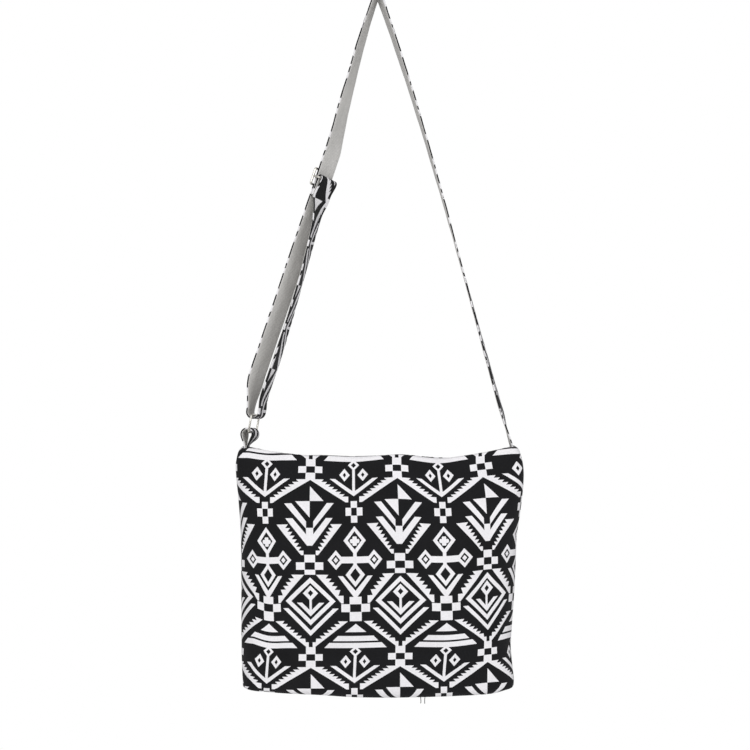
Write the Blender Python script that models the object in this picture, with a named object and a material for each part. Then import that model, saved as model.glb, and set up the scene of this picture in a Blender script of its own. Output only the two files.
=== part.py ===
"""A cloth crossbody bag with a zip top and an adjustable shoulder strap, hanging by its strap.

The frame has +Z up and the bag's front towards -Y. The strap is sewn into the right top corner (+X),
runs over the fold that it hangs by, down through the tri-glide and round the ring at the left top
corner (-X), and back up to the tri-glide's middle bar, where its end is sewn.
The origin is under the middle of the bag, at the level of its bottom. Sizes are in metres.
"""

import math

import bmesh
import bpy
from mathutils import Matrix, Vector

# Clearances
SEAM_GAP = 0.0003            # between pieces that are sewn together or lie on each other
GLIDE_GAP = 0.00035          # between the strap and the bars that it slides past
EDGE_ROOM = 0.0006           # beside each edge of the strap, inside the metal parts
CORNER_ROOM = 0.0004         # beside the strap ends, in the rounded corners of the mouth

# The bag
BAG_HEIGHT = 0.246           # bottom to the two top corners
HALF_WIDTH = 0.1426          # at the widest level, near the top
HALF_DEPTH_TOP = 0.0200      # outside of the mouth
HALF_DEPTH_BELLY = 0.0300    # half way up
HALF_DEPTH_FOOT = 0.0310     # just above the bottom edge
CROWN = 0.0050               # how far the middle of each panel bulges past its sides
CORNER_TOP = 0.0060          # corner radius of the mouth, seen from above
CORNER_BELLY = 0.0240
CORNER_FOOT = 0.0160
FOOT_RADIUS = 0.0095         # rounding between the walls and the bottom
BOTTOM_END_INSET = 0.0060    # how far the bottom seam stops short of the bottom's rounded ends
MOUTH_SAG = 0.0105           # how far the middle of the top edge hangs below its corners
HEM_FRONT = 0.0040           # thickness of the turned top edge along the front and back
HEM_SIDE = 0.0030            # the same at the two ends of the mouth
HEM_ROUND = 0.0030           # height of the hem's rounded fold
CLOTH = 0.0012               # printed cloth with its interlining
LINING_CLOTH = 0.0007
LINING_FLANGE = 0.0050       # how far the lining turns in under the zip

# How far each side lies inside the widest level: pairs of height (share of the bag's) and inset
LEFT_INSETS = ((0.0, 0.0078), (0.2, 0.0052), (0.4, 0.0050), (0.6, 0.0056), (0.8, 0.0021), (0.91, 0.0), (1.0, 0.0042))
RIGHT_INSETS = ((0.0, 0.0098), (0.2, 0.0088), (0.4, 0.0086), (0.6, 0.0056), (0.75, 0.0022), (0.85, 0.0), (1.0, 0.0070))

# The zip
ZIP_DROP = 0.0090            # zip level below the lowest point of the top edge
TAPE = 0.0006                # thickness of the zip tape
TEETH_HEIGHT = 0.0014
TEETH_WIDTH = 0.0024         # one row, from its tips to its back
TEETH_ROOT = 0.0011          # the part of that width that runs unbroken along the row
TEETH_PITCH = 0.0050
TOOTH_SHARE = 0.6            # how much of the pitch one tooth takes
ZIP_MARGIN = 0.0326          # widest level to the end of the teeth, at each end
STOP_LENGTH = 0.0020
SLIDER_LENGTH = 0.0110
SLIDER_WIDTH = 0.0086
SLIDER_PLATE = 0.0010
SLIDER_NECK = 0.0006         # blade between the plates, running between the two rows
STOP_CLEARANCE = 0.0004
BAIL_WIDTH = 0.0024
BAIL_LENGTH = 0.0070
BAIL_WALL = 0.0011
BAIL_ROOM = 0.0022           # height of the opening under the bail
PULL_LENGTH = 0.0220         # from its hinge axis to its tip
PULL_WIDTH = 0.0072
PULL_THICKNESS = 0.0012
PULL_EYE = 0.0050            # length of the eye that the bail stands in
BAIL_CLEARANCE = 0.0004

# The strap
STRAP_WIDTH = 0.0280
STRAP_FACE = 0.0010          # printed cloth, outside
STRAP_BACK = 0.0007          # plain backing, inside
BACK_MARGIN = 0.0016         # how far the backing stays inside the strap's edges
STRAP_DROP = 0.4445          # the fold that the strap hangs by, above the bag's top corners
APEX_RADIUS = 0.0015         # inside of that fold
RUN_TILT = math.radians(18.7)       # straight part of the left run, from upright
RIGHT_TILT = math.radians(19.5)     # right run where it meets the fold
RIGHT_BOW = 0.0042           # how far the right run stands out from a straight line
LEAN_RIGHT_END = math.radians(-10.0)
LEAN_IN_FOOT = 0.034         # length above the ring over which the twist falls to the ring's own turn
LEAN_IN_CORNER = 0.040       # length above the right top corner over which it starts

# Above its straight part the left run bends and untwists towards the fold. Both lists hold pairs: a share
# of the run's length, and how far it lies to the left of the straight line or its twist in degrees
LEFT_OFFSETS = ((0.59, 0.0), (0.65, 0.0018), (0.70, 0.0037), (0.74, 0.0049), (0.81, 0.0066), (0.87, 0.0081),
                (0.94, 0.0090), (1.0, 0.0089))
LEFT_TWIST = ((0.59, 31.5), (0.65, 25.0), (0.70, 21.3), (0.74, 18.8), (0.81, 14.8), (0.87, 12.5), (1.0, 7.0))
END_DEPTH = 0.0170           # how far the strap and tab reach down into the mouth

# The ring and its tab
RING_WIRE = 0.0010           # radius
RING_HEIGHT = 0.0176         # between the centres of its long sides
RING_CORNER = 0.0020
RING_INSET = 0.0156          # the ring's lower side, inside the widest level
RING_RISE = 0.0137           # the same above the bag's top corners
RING_TILT = math.radians(10.0)      # the ring, from upright
RING_TURN = math.radians(11.0)      # the ring, turned about its own upright line
FOOT_STRAIGHT = 0.0220       # length above the ring over which the left run keeps the ring's tilt
FOOT_BEND = 0.0200           # length over which it bends to its own
LOOP_RADIUS = 0.0048         # inside of the strap's turn round the ring
LOOP_REST = 0.0029           # how far the ring's upper side lies below the middle of that turn
LOOP_END = 0.0015            # straight length after it, where the strap's short layer starts
TAB_RADIUS = 0.0044          # inside of the tab's turn round the ring
TAB_PULL = math.radians(45.0)       # where in that turn the ring pulls, from upright

# The tri-glide
GLIDE_WIRE = 0.0012          # radius of its frame's wire
GLIDE_BAR = 0.0011           # radius of its middle bar
GLIDE_CORNER = 0.0014        # corner radius of both, along the wire's middle
GLIDE_HALF_LENGTH = 0.0080   # middle bar to each end bar, along the strap
GLIDE_ABOVE_RING = 0.2005    # from the top of the bend above the ring, along the strap
TAIL_LENGTH = 0.0200         # sewn end of the strap below the middle bar
RETURN_SPREAD = 0.0108       # distance between the strap's two layers half way down
RETURN_SPREAD_LOW = 0.0130   # the same lower down
RETURN_START = 0.0120        # heights above the ring's turn at which the short layer is led past
RETURN_LOW = 0.0700
RETURN_MIDDLE = 0.1350
RETURN_HIGH = 0.0550         # and its places below the tri-glide's middle bar
RETURN_NEAR = 0.0340
RETURN_WRAP = 0.0035
RETURN_LEANS = (12.0, 10.0, 6.0, 9.0, 16.0)   # its twist at those places, in degrees
SLACK_HIGH = 0.0042          # how far it stands off there from the sewn end
SLACK_NEAR = 0.0014
SLACK_TAIL = 0.0002
SLACK_WRAP = 0.0004


def material(name, colour, roughness, metallic=0.0):
    made = bpy.data.materials.new(name)
    made.use_nodes = True
    shader = made.node_tree.nodes["Principled BSDF"]
    shader.inputs["Base Color"].default_value = (*colour, 1.0)
    shader.inputs["Roughness"].default_value = roughness
    shader.inputs["Metallic"].default_value = metallic
    return made


def add_object(name, mesh_data, finish):
    made = bpy.data.objects.new(name, mesh_data)
    bpy.context.scene.collection.objects.link(made)
    made.data.materials.append(finish)
    return made


def mesh_from(name, vertices, faces):
    """A closed mesh with its faces turned outwards."""
    shape = bmesh.new()
    corners = [shape.verts.new(place) for place in vertices]
    for face in faces:
        shape.faces.new([corners[index] for index in face])
    bmesh.ops.remove_doubles(shape, verts=shape.verts, dist=1e-6)
    bmesh.ops.recalc_face_normals(shape, faces=shape.faces)
    made = bpy.data.meshes.new(name)
    shape.to_mesh(made)
    shape.free()
    return made


def prism(name, outline, lift):
    """An outline of points, extruded along the vector lift."""
    shape = bmesh.new()
    base = shape.faces.new([shape.verts.new(place) for place in outline])
    top = bmesh.ops.extrude_face_region(shape, geom=[base])
    raised = [item for item in top["geom"] if isinstance(item, bmesh.types.BMVert)]
    bmesh.ops.translate(shape, verts=raised, vec=lift)
    bmesh.ops.recalc_face_normals(shape, faces=shape.faces)
    bmesh.ops.triangulate(shape, faces=shape.faces)
    made = bpy.data.meshes.new(name)
    shape.to_mesh(made)
    shape.free()
    return made


def smooth(mesh_data, angle=math.radians(40.0)):
    mesh_data.shade_smooth()
    mesh_data.set_sharp_from_angle(angle=angle)


def combine(target, other, operation):
    """A Boolean of another object, which stays as a hidden cutter."""
    step = target.modifiers.new(operation.lower(), "BOOLEAN")
    step.operation = operation
    step.object = other
    step.solver = "EXACT"
    other.hide_render = True
    other.display_type = "WIRE"


def ramp(value):
    """0 to 1 with a soft start and end."""
    value = min(max(value, 0.0), 1.0)
    return value * value * (3.0 - 2.0 * value)


def through(points, at):
    """A smooth value at a place, through pairs of place and value."""
    if at <= points[0][0]:
        return points[0][1]
    for index in range(len(points) - 1):
        (x0, y0), (x1, y1) = points[index], points[index + 1]
        if at <= x1:
            before = points[max(index - 1, 0)]
            after = points[min(index + 2, len(points) - 1)]
            slope0 = (y1 - before[1]) / (x1 - before[0])
            slope1 = (after[1] - y0) / (after[0] - x0)
            span = x1 - x0
            t = (at - x0) / span
            bend0 = t * (1 - t) * (1 - t) * span * slope0
            bend1 = t * t * (t - 1) * span * slope1
            return y0 + (y1 - y0) * ramp(t) + bend0 + bend1
    return points[-1][1]


# The bag's walls

MOUTH_MIDDLE = BAG_HEIGHT - MOUTH_SAG
ZIP_LEVEL = MOUTH_MIDDLE - ZIP_DROP
TAPE_TOP = ZIP_LEVEL + TAPE / 2
TAPE_UNDER = ZIP_LEVEL - TAPE / 2


def left_width(z):
    return HALF_WIDTH - through(LEFT_INSETS, z / BAG_HEIGHT)


def right_width(z):
    return HALF_WIDTH - through(RIGHT_INSETS, z / BAG_HEIGHT)


def half_depth(z):
    levels = (
        (0.0, HALF_DEPTH_FOOT),
        (BAG_HEIGHT * 0.2, HALF_DEPTH_FOOT),
        (BAG_HEIGHT * 0.5, HALF_DEPTH_BELLY),
        (MOUTH_MIDDLE, HALF_DEPTH_TOP),
        (BAG_HEIGHT, HALF_DEPTH_TOP),
    )
    return through(levels, z)


def corner_radius(z):
    levels = (
        (0.0, CORNER_FOOT),
        (BAG_HEIGHT * 0.5, CORNER_BELLY),
        (MOUTH_MIDDLE, CORNER_TOP),
        (BAG_HEIGHT, CORNER_TOP),
    )
    return through(levels, z)


def crown(z):
    """The panels bulge between the bottom and the mouth, and not at either."""
    return CROWN * ramp(z / (BAG_HEIGHT * 0.3)) * ramp((ZIP_LEVEL - z) / (BAG_HEIGHT * 0.4))


def mouth_level(x):
    """The top edge hangs in a shallow curve between its corners."""
    share = min(abs(x) / HALF_WIDTH, 1.0)
    return MOUTH_MIDDLE + MOUTH_SAG * share ** 3


END_STEPS = 2
CORNER_STEPS = 3
FRONT_STEPS = 10


def plan_places():
    """Where the columns of a panel stand, from the right side seam round the front to the left one.

    Each place is a side (1 right, -1 left), a stretch of the plan and a share of that stretch.
    """
    places = [(1, "end", step / END_STEPS) for step in range(END_STEPS)]
    places += [(1, "corner", step / CORNER_STEPS) for step in range(CORNER_STEPS)]
    places += [(1, "front", step / FRONT_STEPS) for step in range(FRONT_STEPS + 1)]
    places += [(-1, "corner", 1 - step / CORNER_STEPS) for step in range(1, CORNER_STEPS + 1)]
    places += [(-1, "end", 1 - step / END_STEPS) for step in range(1, END_STEPS + 1)]
    return places


def plan_point(place, z, inset_end, inset_front):
    """A point of the plan at a level, moved in from the ends and from the front."""
    side, stretch, share = place
    wide_right = right_width(z) - inset_end
    wide_left = left_width(z) - inset_end
    deep = max(half_depth(z) - inset_front, 0.0)
    radius = min(max(corner_radius(z) - inset_front, CORNER_TOP / 2), deep)
    wide = wide_right if side > 0 else wide_left
    if stretch == "end":
        x, y = side * wide, (deep - radius) * share
    elif stretch == "corner":
        angle = share * math.pi / 2
        x = side * (wide - radius + radius * math.cos(angle))
        y = deep - radius + radius * math.sin(angle)
    else:
        x = (wide_right - radius) * (1 - share) - (wide_left - radius) * share
        y = deep
    bulge = crown(z) * max(1 - (x / HALF_WIDTH) ** 2, 0.0) * (y / HALF_DEPTH_BELLY)
    return x, y + bulge


HEM_STEPS = 4
WALL_STEPS = 7
FOOT_STEPS = 3
BOTTOM_STEPS = 2


def hem_rows(offset):
    """Rows of the turned top edge, from the zip tape up over the fold.

    Each row is a function of x that gives level, inset at the ends and inset at the front.
    """
    facing_foot = TAPE_TOP + SEAM_GAP
    rows = [
        lambda x: (facing_foot, HEM_SIDE - offset, HEM_FRONT - offset),
        lambda x: (mouth_level(x) - HEM_ROUND, HEM_SIDE - offset, HEM_FRONT - offset),
    ]
    for step in range(1, HEM_STEPS):
        angle = math.pi * step / HEM_STEPS
        rows.append(lambda x, angle=angle: (
            mouth_level(x) - HEM_ROUND + (HEM_ROUND - offset) * math.sin(angle),
            HEM_SIDE / 2 + (HEM_SIDE / 2 - offset) * math.cos(angle),
            HEM_FRONT / 2 + (HEM_FRONT / 2 - offset) * math.cos(angle),
        ))
    return rows


def wall_rows(offset):
    """Rows of a wall that lies offset inside the outer surface, from below the hem to the bottom seam."""
    rows = []
    for step in range(WALL_STEPS + 1):
        share = step / WALL_STEPS
        rows.append(lambda x, share=share: (
            (mouth_level(x) - HEM_ROUND) * (1 - share) + FOOT_RADIUS * share, offset, offset))
    for step in range(1, FOOT_STEPS + 1):
        angle = math.pi / 2 * step / FOOT_STEPS
        inset = FOOT_RADIUS - (FOOT_RADIUS - offset) * math.cos(angle)
        level = FOOT_RADIUS - (FOOT_RADIUS - offset) * math.sin(angle)
        rows.append(lambda x, level=level, inset=inset: (level, inset, inset))
    for step in range(1, BOTTOM_STEPS + 1):
        share = step / BOTTOM_STEPS
        rows.append(lambda x, share=share: (
            offset,
            FOOT_RADIUS + BOTTOM_END_INSET * share,
            FOOT_RADIUS + (half_depth(offset) - FOOT_RADIUS) * share,
        ))
    return rows


def grid_points(rows, offset, side):
    """Points of a wall surface, one list per row. side is -1 for the front and 1 for the back."""
    grid = []
    for row in rows:
        points = []
        for place in plan_places():
            guess = plan_point(place, BAG_HEIGHT, offset, offset)[0]
            level, inset_end, inset_front = row(guess)
            x, y = plan_point(place, level, inset_end, inset_front)
            points.append(Vector((x, side * (y + SEAM_GAP / 2), level)))
        grid.append(points)
    return grid


def wall_edge(offset, level, side):
    """Points round the top of the wall at one level."""
    uppers, lowers = grid_points(wall_rows(offset)[:2], offset, side)
    return [upper.lerp(lower, (upper.z - level) / (upper.z - lower.z)) for upper, lower in zip(uppers, lowers)]


def lining_grid(offset, side):
    """The wall's grid, ending under the zip tape with a flange that turns in."""
    level = TAPE_UNDER - SEAM_GAP - (offset - CLOTH - SEAM_GAP)
    inset = offset + LINING_FLANGE
    flange = grid_points([lambda x: (level, inset, inset)], offset, side)
    return flange + [wall_edge(offset, level, side)] + grid_points(wall_rows(offset)[1:], offset, side)


def panel_mesh(name, side):
    """One outer panel: its outer and inner surfaces, joined by a rim all round."""
    outer = grid_points(hem_rows(0.0) + wall_rows(0.0), 0.0, side)
    inner = grid_points(hem_rows(CLOTH) + wall_rows(CLOTH), CLOTH, side)
    rows, columns = len(outer), len(outer[0])
    vertices = [point for row in outer for point in row] + [point for row in inner for point in row]
    shift = rows * columns
    faces = []
    for row in range(rows - 1):
        for column in range(columns - 1):
            first = row * columns + column
            quad = (first, first + 1, first + columns + 1, first + columns)
            faces.append(quad)
            faces.append(tuple(shift + index for index in reversed(quad)))
    rim = [column for column in range(columns)]
    rim += [row * columns + columns - 1 for row in range(1, rows)]
    rim += [(rows - 1) * columns + column for column in range(columns - 2, -1, -1)]
    rim += [row * columns for row in range(rows - 2, 0, -1)]
    for here, there in zip(rim, rim[1:] + rim[:1]):
        faces.append((here, there, shift + there, shift + here))
    return mesh_from(name, vertices, faces)


def lining_mesh(name):
    """The lining: one open bag inside both panels, with a flange under the zip."""
    vertices, faces = [], []
    shells = []
    for offset in (CLOTH + SEAM_GAP, CLOTH + SEAM_GAP + LINING_CLOTH):
        front = lining_grid(offset, -1)
        back = lining_grid(offset, 1)
        shell = []
        for front_row, back_row in zip(front, back):
            ring = [point.copy() for point in front_row] + [point.copy() for point in reversed(back_row)]
            for point in ring:
                point.y -= math.copysign(SEAM_GAP / 2, point.y)
            shell.append(ring[:-1] if (ring[0] - ring[-1]).length < 1e-6 else ring)
        shells.append(shell)
    for shell in shells:
        for ring in shell:
            vertices.extend(ring)
    rows, columns = len(shells[0]), len(shells[0][0])
    shift = rows * columns
    for row in range(rows - 1):
        for column in range(columns):
            beside = (column + 1) % columns
            quad = (row * columns + column, row * columns + beside,
                    (row + 1) * columns + beside, (row + 1) * columns + column)
            corners = {tuple(round(c, 7) for c in vertices[index]) for index in quad}
            if len(corners) >= 3:
                faces.append(quad)
                faces.append(tuple(shift + index for index in reversed(quad)))
    for column in range(columns):
        beside = (column + 1) % columns
        faces.append((column, beside, shift + beside, shift + column))
    return welded_mesh(name, vertices, faces)


def welded_mesh(name, vertices, faces):
    """A closed mesh from faces whose corners may lie on each other, as along a bottom fold."""
    places, order = {}, []
    for point in vertices:
        key = tuple(round(c, 7) for c in point)
        order.append(places.setdefault(key, len(places)))
    kept = [Vector(key) for key in places]
    cleaned, seen = [], set()
    for face in faces:
        ring = []
        for index in (order[corner] for corner in face):
            if index not in ring:
                ring.append(index)
        if len(ring) >= 3 and frozenset(ring) not in seen:
            seen.add(frozenset(ring))
            cleaned.append(ring)
    return mesh_from(name, kept, cleaned)


# The zip

NECK_EDGE = SLIDER_NECK / 2 + SEAM_GAP       # inner edge of each tape and row of teeth
TEETH_UNDER = TAPE_TOP + SEAM_GAP
TEETH_TOP = TEETH_UNDER + TEETH_HEIGHT
ZIP_END = HALF_WIDTH - ZIP_MARGIN
SLIDER_REST = ZIP_END - STOP_CLEARANCE - SLIDER_LENGTH / 2
PLATE_UNDER = TEETH_TOP + SEAM_GAP
PLATE_TOP = PLATE_UNDER + SLIDER_PLATE
PULL_AXIS_Z = PLATE_TOP + BAIL_ROOM / 2


def tape_mesh(name, side):
    """One half of the zip tape, cut to the mouth's plan and sewn in under the hem."""
    edge = wall_edge(CLOTH + SEAM_GAP, ZIP_LEVEL, side)
    outline = [Vector((point.x, side * max(abs(point.y), NECK_EDGE), TAPE_UNDER)) for point in edge]
    return prism(name, outline, (0.0, 0.0, TAPE))


def teeth_mesh(name, side):
    """One row of teeth: a strip with a tooth at each pitch, pointing at the other row."""
    back = NECK_EDGE + TEETH_WIDTH
    root = back - TEETH_ROOT
    count = int(2 * ZIP_END / TEETH_PITCH)
    start = -count * TEETH_PITCH / 2
    outline = [(-ZIP_END, root), (-ZIP_END, back), (ZIP_END, back), (ZIP_END, root)]
    for tooth in range(count - 1, -1, -1):
        left = start + (tooth + (1 - TOOTH_SHARE) / 2) * TEETH_PITCH
        right = left + TOOTH_SHARE * TEETH_PITCH
        outline += [(right, root), (right, NECK_EDGE), (left, NECK_EDGE), (left, root)]
    points = [Vector((x, side * y, TEETH_UNDER)) for x, y in outline]
    return prism(name, points, (0.0, 0.0, TEETH_HEIGHT))


def block(name, low, high):
    """A plain block between two corners."""
    (x0, y0, z0), (x1, y1, z1) = low, high
    outline = [Vector((x0, y0, z0)), Vector((x1, y0, z0)), Vector((x1, y1, z0)), Vector((x0, y1, z0))]
    return prism(name, outline, (0.0, 0.0, z1 - z0))


def slider_mesh(name):
    """The slider's two plates and the neck between them, seen along the zip as an I."""
    wide = SLIDER_WIDTH / 2
    neck = SLIDER_NECK / 2
    foot_top = TAPE_UNDER - SEAM_GAP
    foot_under = foot_top - SLIDER_PLATE
    half = [(wide, foot_under), (wide, foot_top), (neck, foot_top), (neck, PLATE_UNDER),
            (wide, PLATE_UNDER), (wide, PLATE_TOP)]
    section = half + [(-y, z) for y, z in reversed(half)]
    x = SLIDER_REST - SLIDER_LENGTH / 2
    return prism(name, [Vector((x, y, z)) for y, z in section], (SLIDER_LENGTH, 0.0, 0.0))


def bail_mesh(name):
    """The staple on the slider that holds the pull."""
    half = BAIL_LENGTH / 2
    inside = half - BAIL_WALL
    foot = PLATE_TOP - SLIDER_PLATE / 2
    roof = PLATE_TOP + BAIL_ROOM
    top = roof + BAIL_WALL
    outline = [(-half, foot), (-half, roof), (-inside, top), (inside, top), (half, roof), (half, foot),
               (inside, foot), (inside, roof), (-inside, roof), (-inside, foot)]
    points = [Vector((SLIDER_REST + x, -BAIL_WIDTH / 2, z)) for x, z in outline]
    return prism(name, points, (0.0, BAIL_WIDTH, 0.0))


def pull_mesh(name):
    """The pull tab, with a rounded tip. It lies along the zip, towards the middle of the bag."""
    wide = PULL_WIDTH / 2
    head = PULL_THICKNESS / 2
    tip = [(-PULL_LENGTH + wide - wide * math.cos(angle), wide * math.sin(angle))
           for angle in (math.pi / 2 * step / 4 for step in range(-3, 4))]
    outline = [(head, -wide)] + [(-PULL_LENGTH + wide, -wide)] + tip + [(-PULL_LENGTH + wide, wide), (head, wide)]
    low = PULL_AXIS_Z - PULL_THICKNESS / 2
    return prism(name, [Vector((SLIDER_REST + x, y, low)) for x, y in outline], (0.0, 0.0, PULL_THICKNESS))


# The strap

STRAP = STRAP_FACE + SEAM_GAP + STRAP_BACK
Y_AXIS = Vector((0.0, 1.0, 0.0))
RUN_UP = Vector((math.sin(RUN_TILT), 0.0, math.cos(RUN_TILT)))
RUN_IN = Vector((math.cos(RUN_TILT), 0.0, -math.sin(RUN_TILT)))
APEX_LEVEL = BAG_HEIGHT + STRAP_DROP
RING_BAR = Vector((RING_INSET - HALF_WIDTH, 0.0, BAG_HEIGHT + RING_RISE))
RING_UP = Vector((math.sin(RING_TILT), 0.0, math.cos(RING_TILT)))
RING_ACROSS = Vector((math.cos(RING_TILT), 0.0, -math.sin(RING_TILT)))
RING_WIDE = math.cos(RING_TURN) * Y_AXIS + math.sin(RING_TURN) * RING_ACROSS
RING_IN = math.cos(RING_TURN) * RING_ACROSS - math.sin(RING_TURN) * Y_AXIS
RING_TOP = RING_BAR + RING_UP * RING_HEIGHT
LOOP_MIDDLE = RING_TOP + RING_UP * LOOP_REST
LOOP_PATH = LOOP_RADIUS + STRAP / 2
LOOP_FOOT = LOOP_MIDDLE - RING_IN * LOOP_PATH
FOOT_LENGTH = FOOT_STRAIGHT + FOOT_BEND
BEND_ANGLE = RUN_TILT - RING_TILT
BEND_RADIUS = FOOT_BEND / BEND_ANGLE


def foot_point(up):
    """A point of the left run's foot, at a distance along it from the turn round the ring."""
    straight = min(up, FOOT_STRAIGHT)
    angle = RING_TILT + BEND_ANGLE * (up - straight) / FOOT_BEND
    x = straight * math.sin(RING_TILT) + BEND_RADIUS * (math.cos(RING_TILT) - math.cos(angle))
    z = straight * math.cos(RING_TILT) + BEND_RADIUS * (math.sin(angle) - math.sin(RING_TILT))
    level = ramp(1.0 - up / FOOT_LENGTH)
    return Vector((LOOP_FOOT.x + x, LOOP_FOOT.y * level, LOOP_FOOT.z + z))


RUN_FOOT = foot_point(FOOT_LENGTH)
RUN_LENGTH = (APEX_LEVEL - RUN_FOOT.z) / RUN_UP.z
LEAN = math.radians(LEFT_TWIST[0][1])


def run_point(up):
    """A point of the left run above its foot, at a distance along it."""
    return RUN_FOOT + RUN_UP * up - RUN_IN * through(LEFT_OFFSETS, up / RUN_LENGTH)


RUN_TOP = run_point(RUN_LENGTH)
TOP_UP = (RUN_TOP - run_point(RUN_LENGTH * 0.99)).normalized()
TOP_TILT = math.atan2(TOP_UP.x, TOP_UP.z)
APEX_PATH = APEX_RADIUS + STRAP / 2
APEX = RUN_TOP + Vector((math.cos(TOP_TILT), 0.0, -math.sin(TOP_TILT))) * APEX_PATH


def spline(points, steps):
    """Points on a smooth curve through the given ones, with so many steps between each two."""
    made = []
    for index in range(len(points) - 1):
        p1, p2 = points[index], points[index + 1]
        p0 = points[index - 1] if index > 0 else p1 + (p1 - p2)
        p3 = points[index + 2] if index + 2 < len(points) else p2 + (p2 - p1)
        for step in range(steps):
            t = step / steps
            made.append(0.5 * (2 * p1 + (p2 - p0) * t + (2 * p0 - 5 * p1 + 4 * p2 - p3) * t ** 2
                               + (3 * p1 - p0 - 3 * p2 + p3) * t ** 3))
    made.append(points[-1].copy())
    return made


def leaning(points, leans):
    """Pairs of point and width direction. A positive lean turns the far edge to the loop's inside."""
    samples = []
    for index, point in enumerate(points):
        ahead = points[min(index + 1, len(points) - 1)]
        behind = points[max(index - 1, 0)]
        along = (ahead - behind).normalized()
        inward = along.cross(Y_AXIS).normalized()
        samples.append((point, math.cos(leans[index]) * Y_AXIS + math.sin(leans[index]) * inward))
    return samples


def strap_end_x(z):
    """Middle of the strap's end inside the right end of the mouth."""
    return right_width(z) - HEM_SIDE - SEAM_GAP - CORNER_ROOM - STRAP / 2


def running_strap():
    """The long layer: right corner, over the fold, down the left run and round the ring."""
    inside = [BAG_HEIGHT - END_DEPTH, BAG_HEIGHT - END_DEPTH / 2, BAG_HEIGHT]
    points = [Vector((strap_end_x(z), 0.0, z)) for z in inside]
    leans = [0.0, 0.0, 0.0]
    start = points[-1]
    radius_out = Vector((math.cos(RIGHT_TILT), 0.0, math.sin(RIGHT_TILT)))
    finish = APEX + radius_out * APEX_PATH
    lean_apex = math.radians(LEFT_TWIST[-1][1])
    for share in (0.015, 0.035, 0.06, 0.09, 0.13, 0.2, 0.3, 0.4, 0.5, 0.6, 0.7, 0.8, 0.9, 1.0):
        bow = RIGHT_BOW * 6.75 * share * share * (1 - share)
        points.append(start.lerp(finish, share) + Vector((bow, 0.0, 0.0)))
        lean = LEAN_RIGHT_END + (lean_apex - LEAN_RIGHT_END) * share
        leans.append(lean * ramp(share * (APEX_LEVEL - BAG_HEIGHT) / LEAN_IN_CORNER))
    turn = 8
    first, last = RIGHT_TILT, math.pi - TOP_TILT
    for step in range(1, turn + 1):
        angle = first + (last - first) * step / turn
        points.append(APEX + APEX_PATH * Vector((math.cos(angle), 0.0, math.sin(angle))))
        leans.append(lean_apex)
    straight = LEFT_OFFSETS[0][0]
    shares = [1 - (1 - straight) * step / 9 for step in range(1, 10)]
    shares += [straight * (1 - step / 3) for step in range(1, 3)]
    for share in shares:
        points.append(run_point(RUN_LENGTH * share))
        leans.append(math.radians(through(LEFT_TWIST, share)))
    foot = 8
    for step in range(foot):
        up = FOOT_LENGTH * (1 - step / foot)
        points.append(foot_point(up))
        leans.append(RING_TURN + (LEAN - RING_TURN) * ramp(up / LEAN_IN_FOOT))
    samples = leaning(points, leans)
    turn = 8
    for step in range(turn + 1):
        angle = math.pi * step / turn
        samples.append((LOOP_MIDDLE - LOOP_PATH * (math.cos(angle) * RING_IN + math.sin(angle) * RING_UP), RING_WIDE))
    samples.append((samples[-1][0] + RING_UP * LOOP_END, RING_WIDE))
    return samples


GLIDE_POINT = RUN_FOOT + RUN_UP * GLIDE_ABOVE_RING
GLIDE_WIDE = math.cos(LEAN) * Y_AXIS + math.sin(LEAN) * RUN_IN
GLIDE_IN = math.cos(LEAN) * RUN_IN - math.sin(LEAN) * Y_AXIS
BAR_IN = STRAP / 2 + GLIDE_GAP + STRAP + SEAM_GAP + GLIDE_BAR
END_BAR_IN = -(STRAP / 2 + GLIDE_GAP + GLIDE_WIRE)
BAR_LOOP = GLIDE_BAR + SEAM_GAP + STRAP / 2
RAIL_OUT = STRAP_WIDTH / 2 + EDGE_ROOM + GLIDE_WIRE


def at_glide(along, inward, wide=0.0):
    """A point by its place along the strap, inwards of it and across it, counted from the tri-glide."""
    return GLIDE_POINT + RUN_UP * along + GLIDE_IN * inward + GLIDE_WIDE * wide


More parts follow.
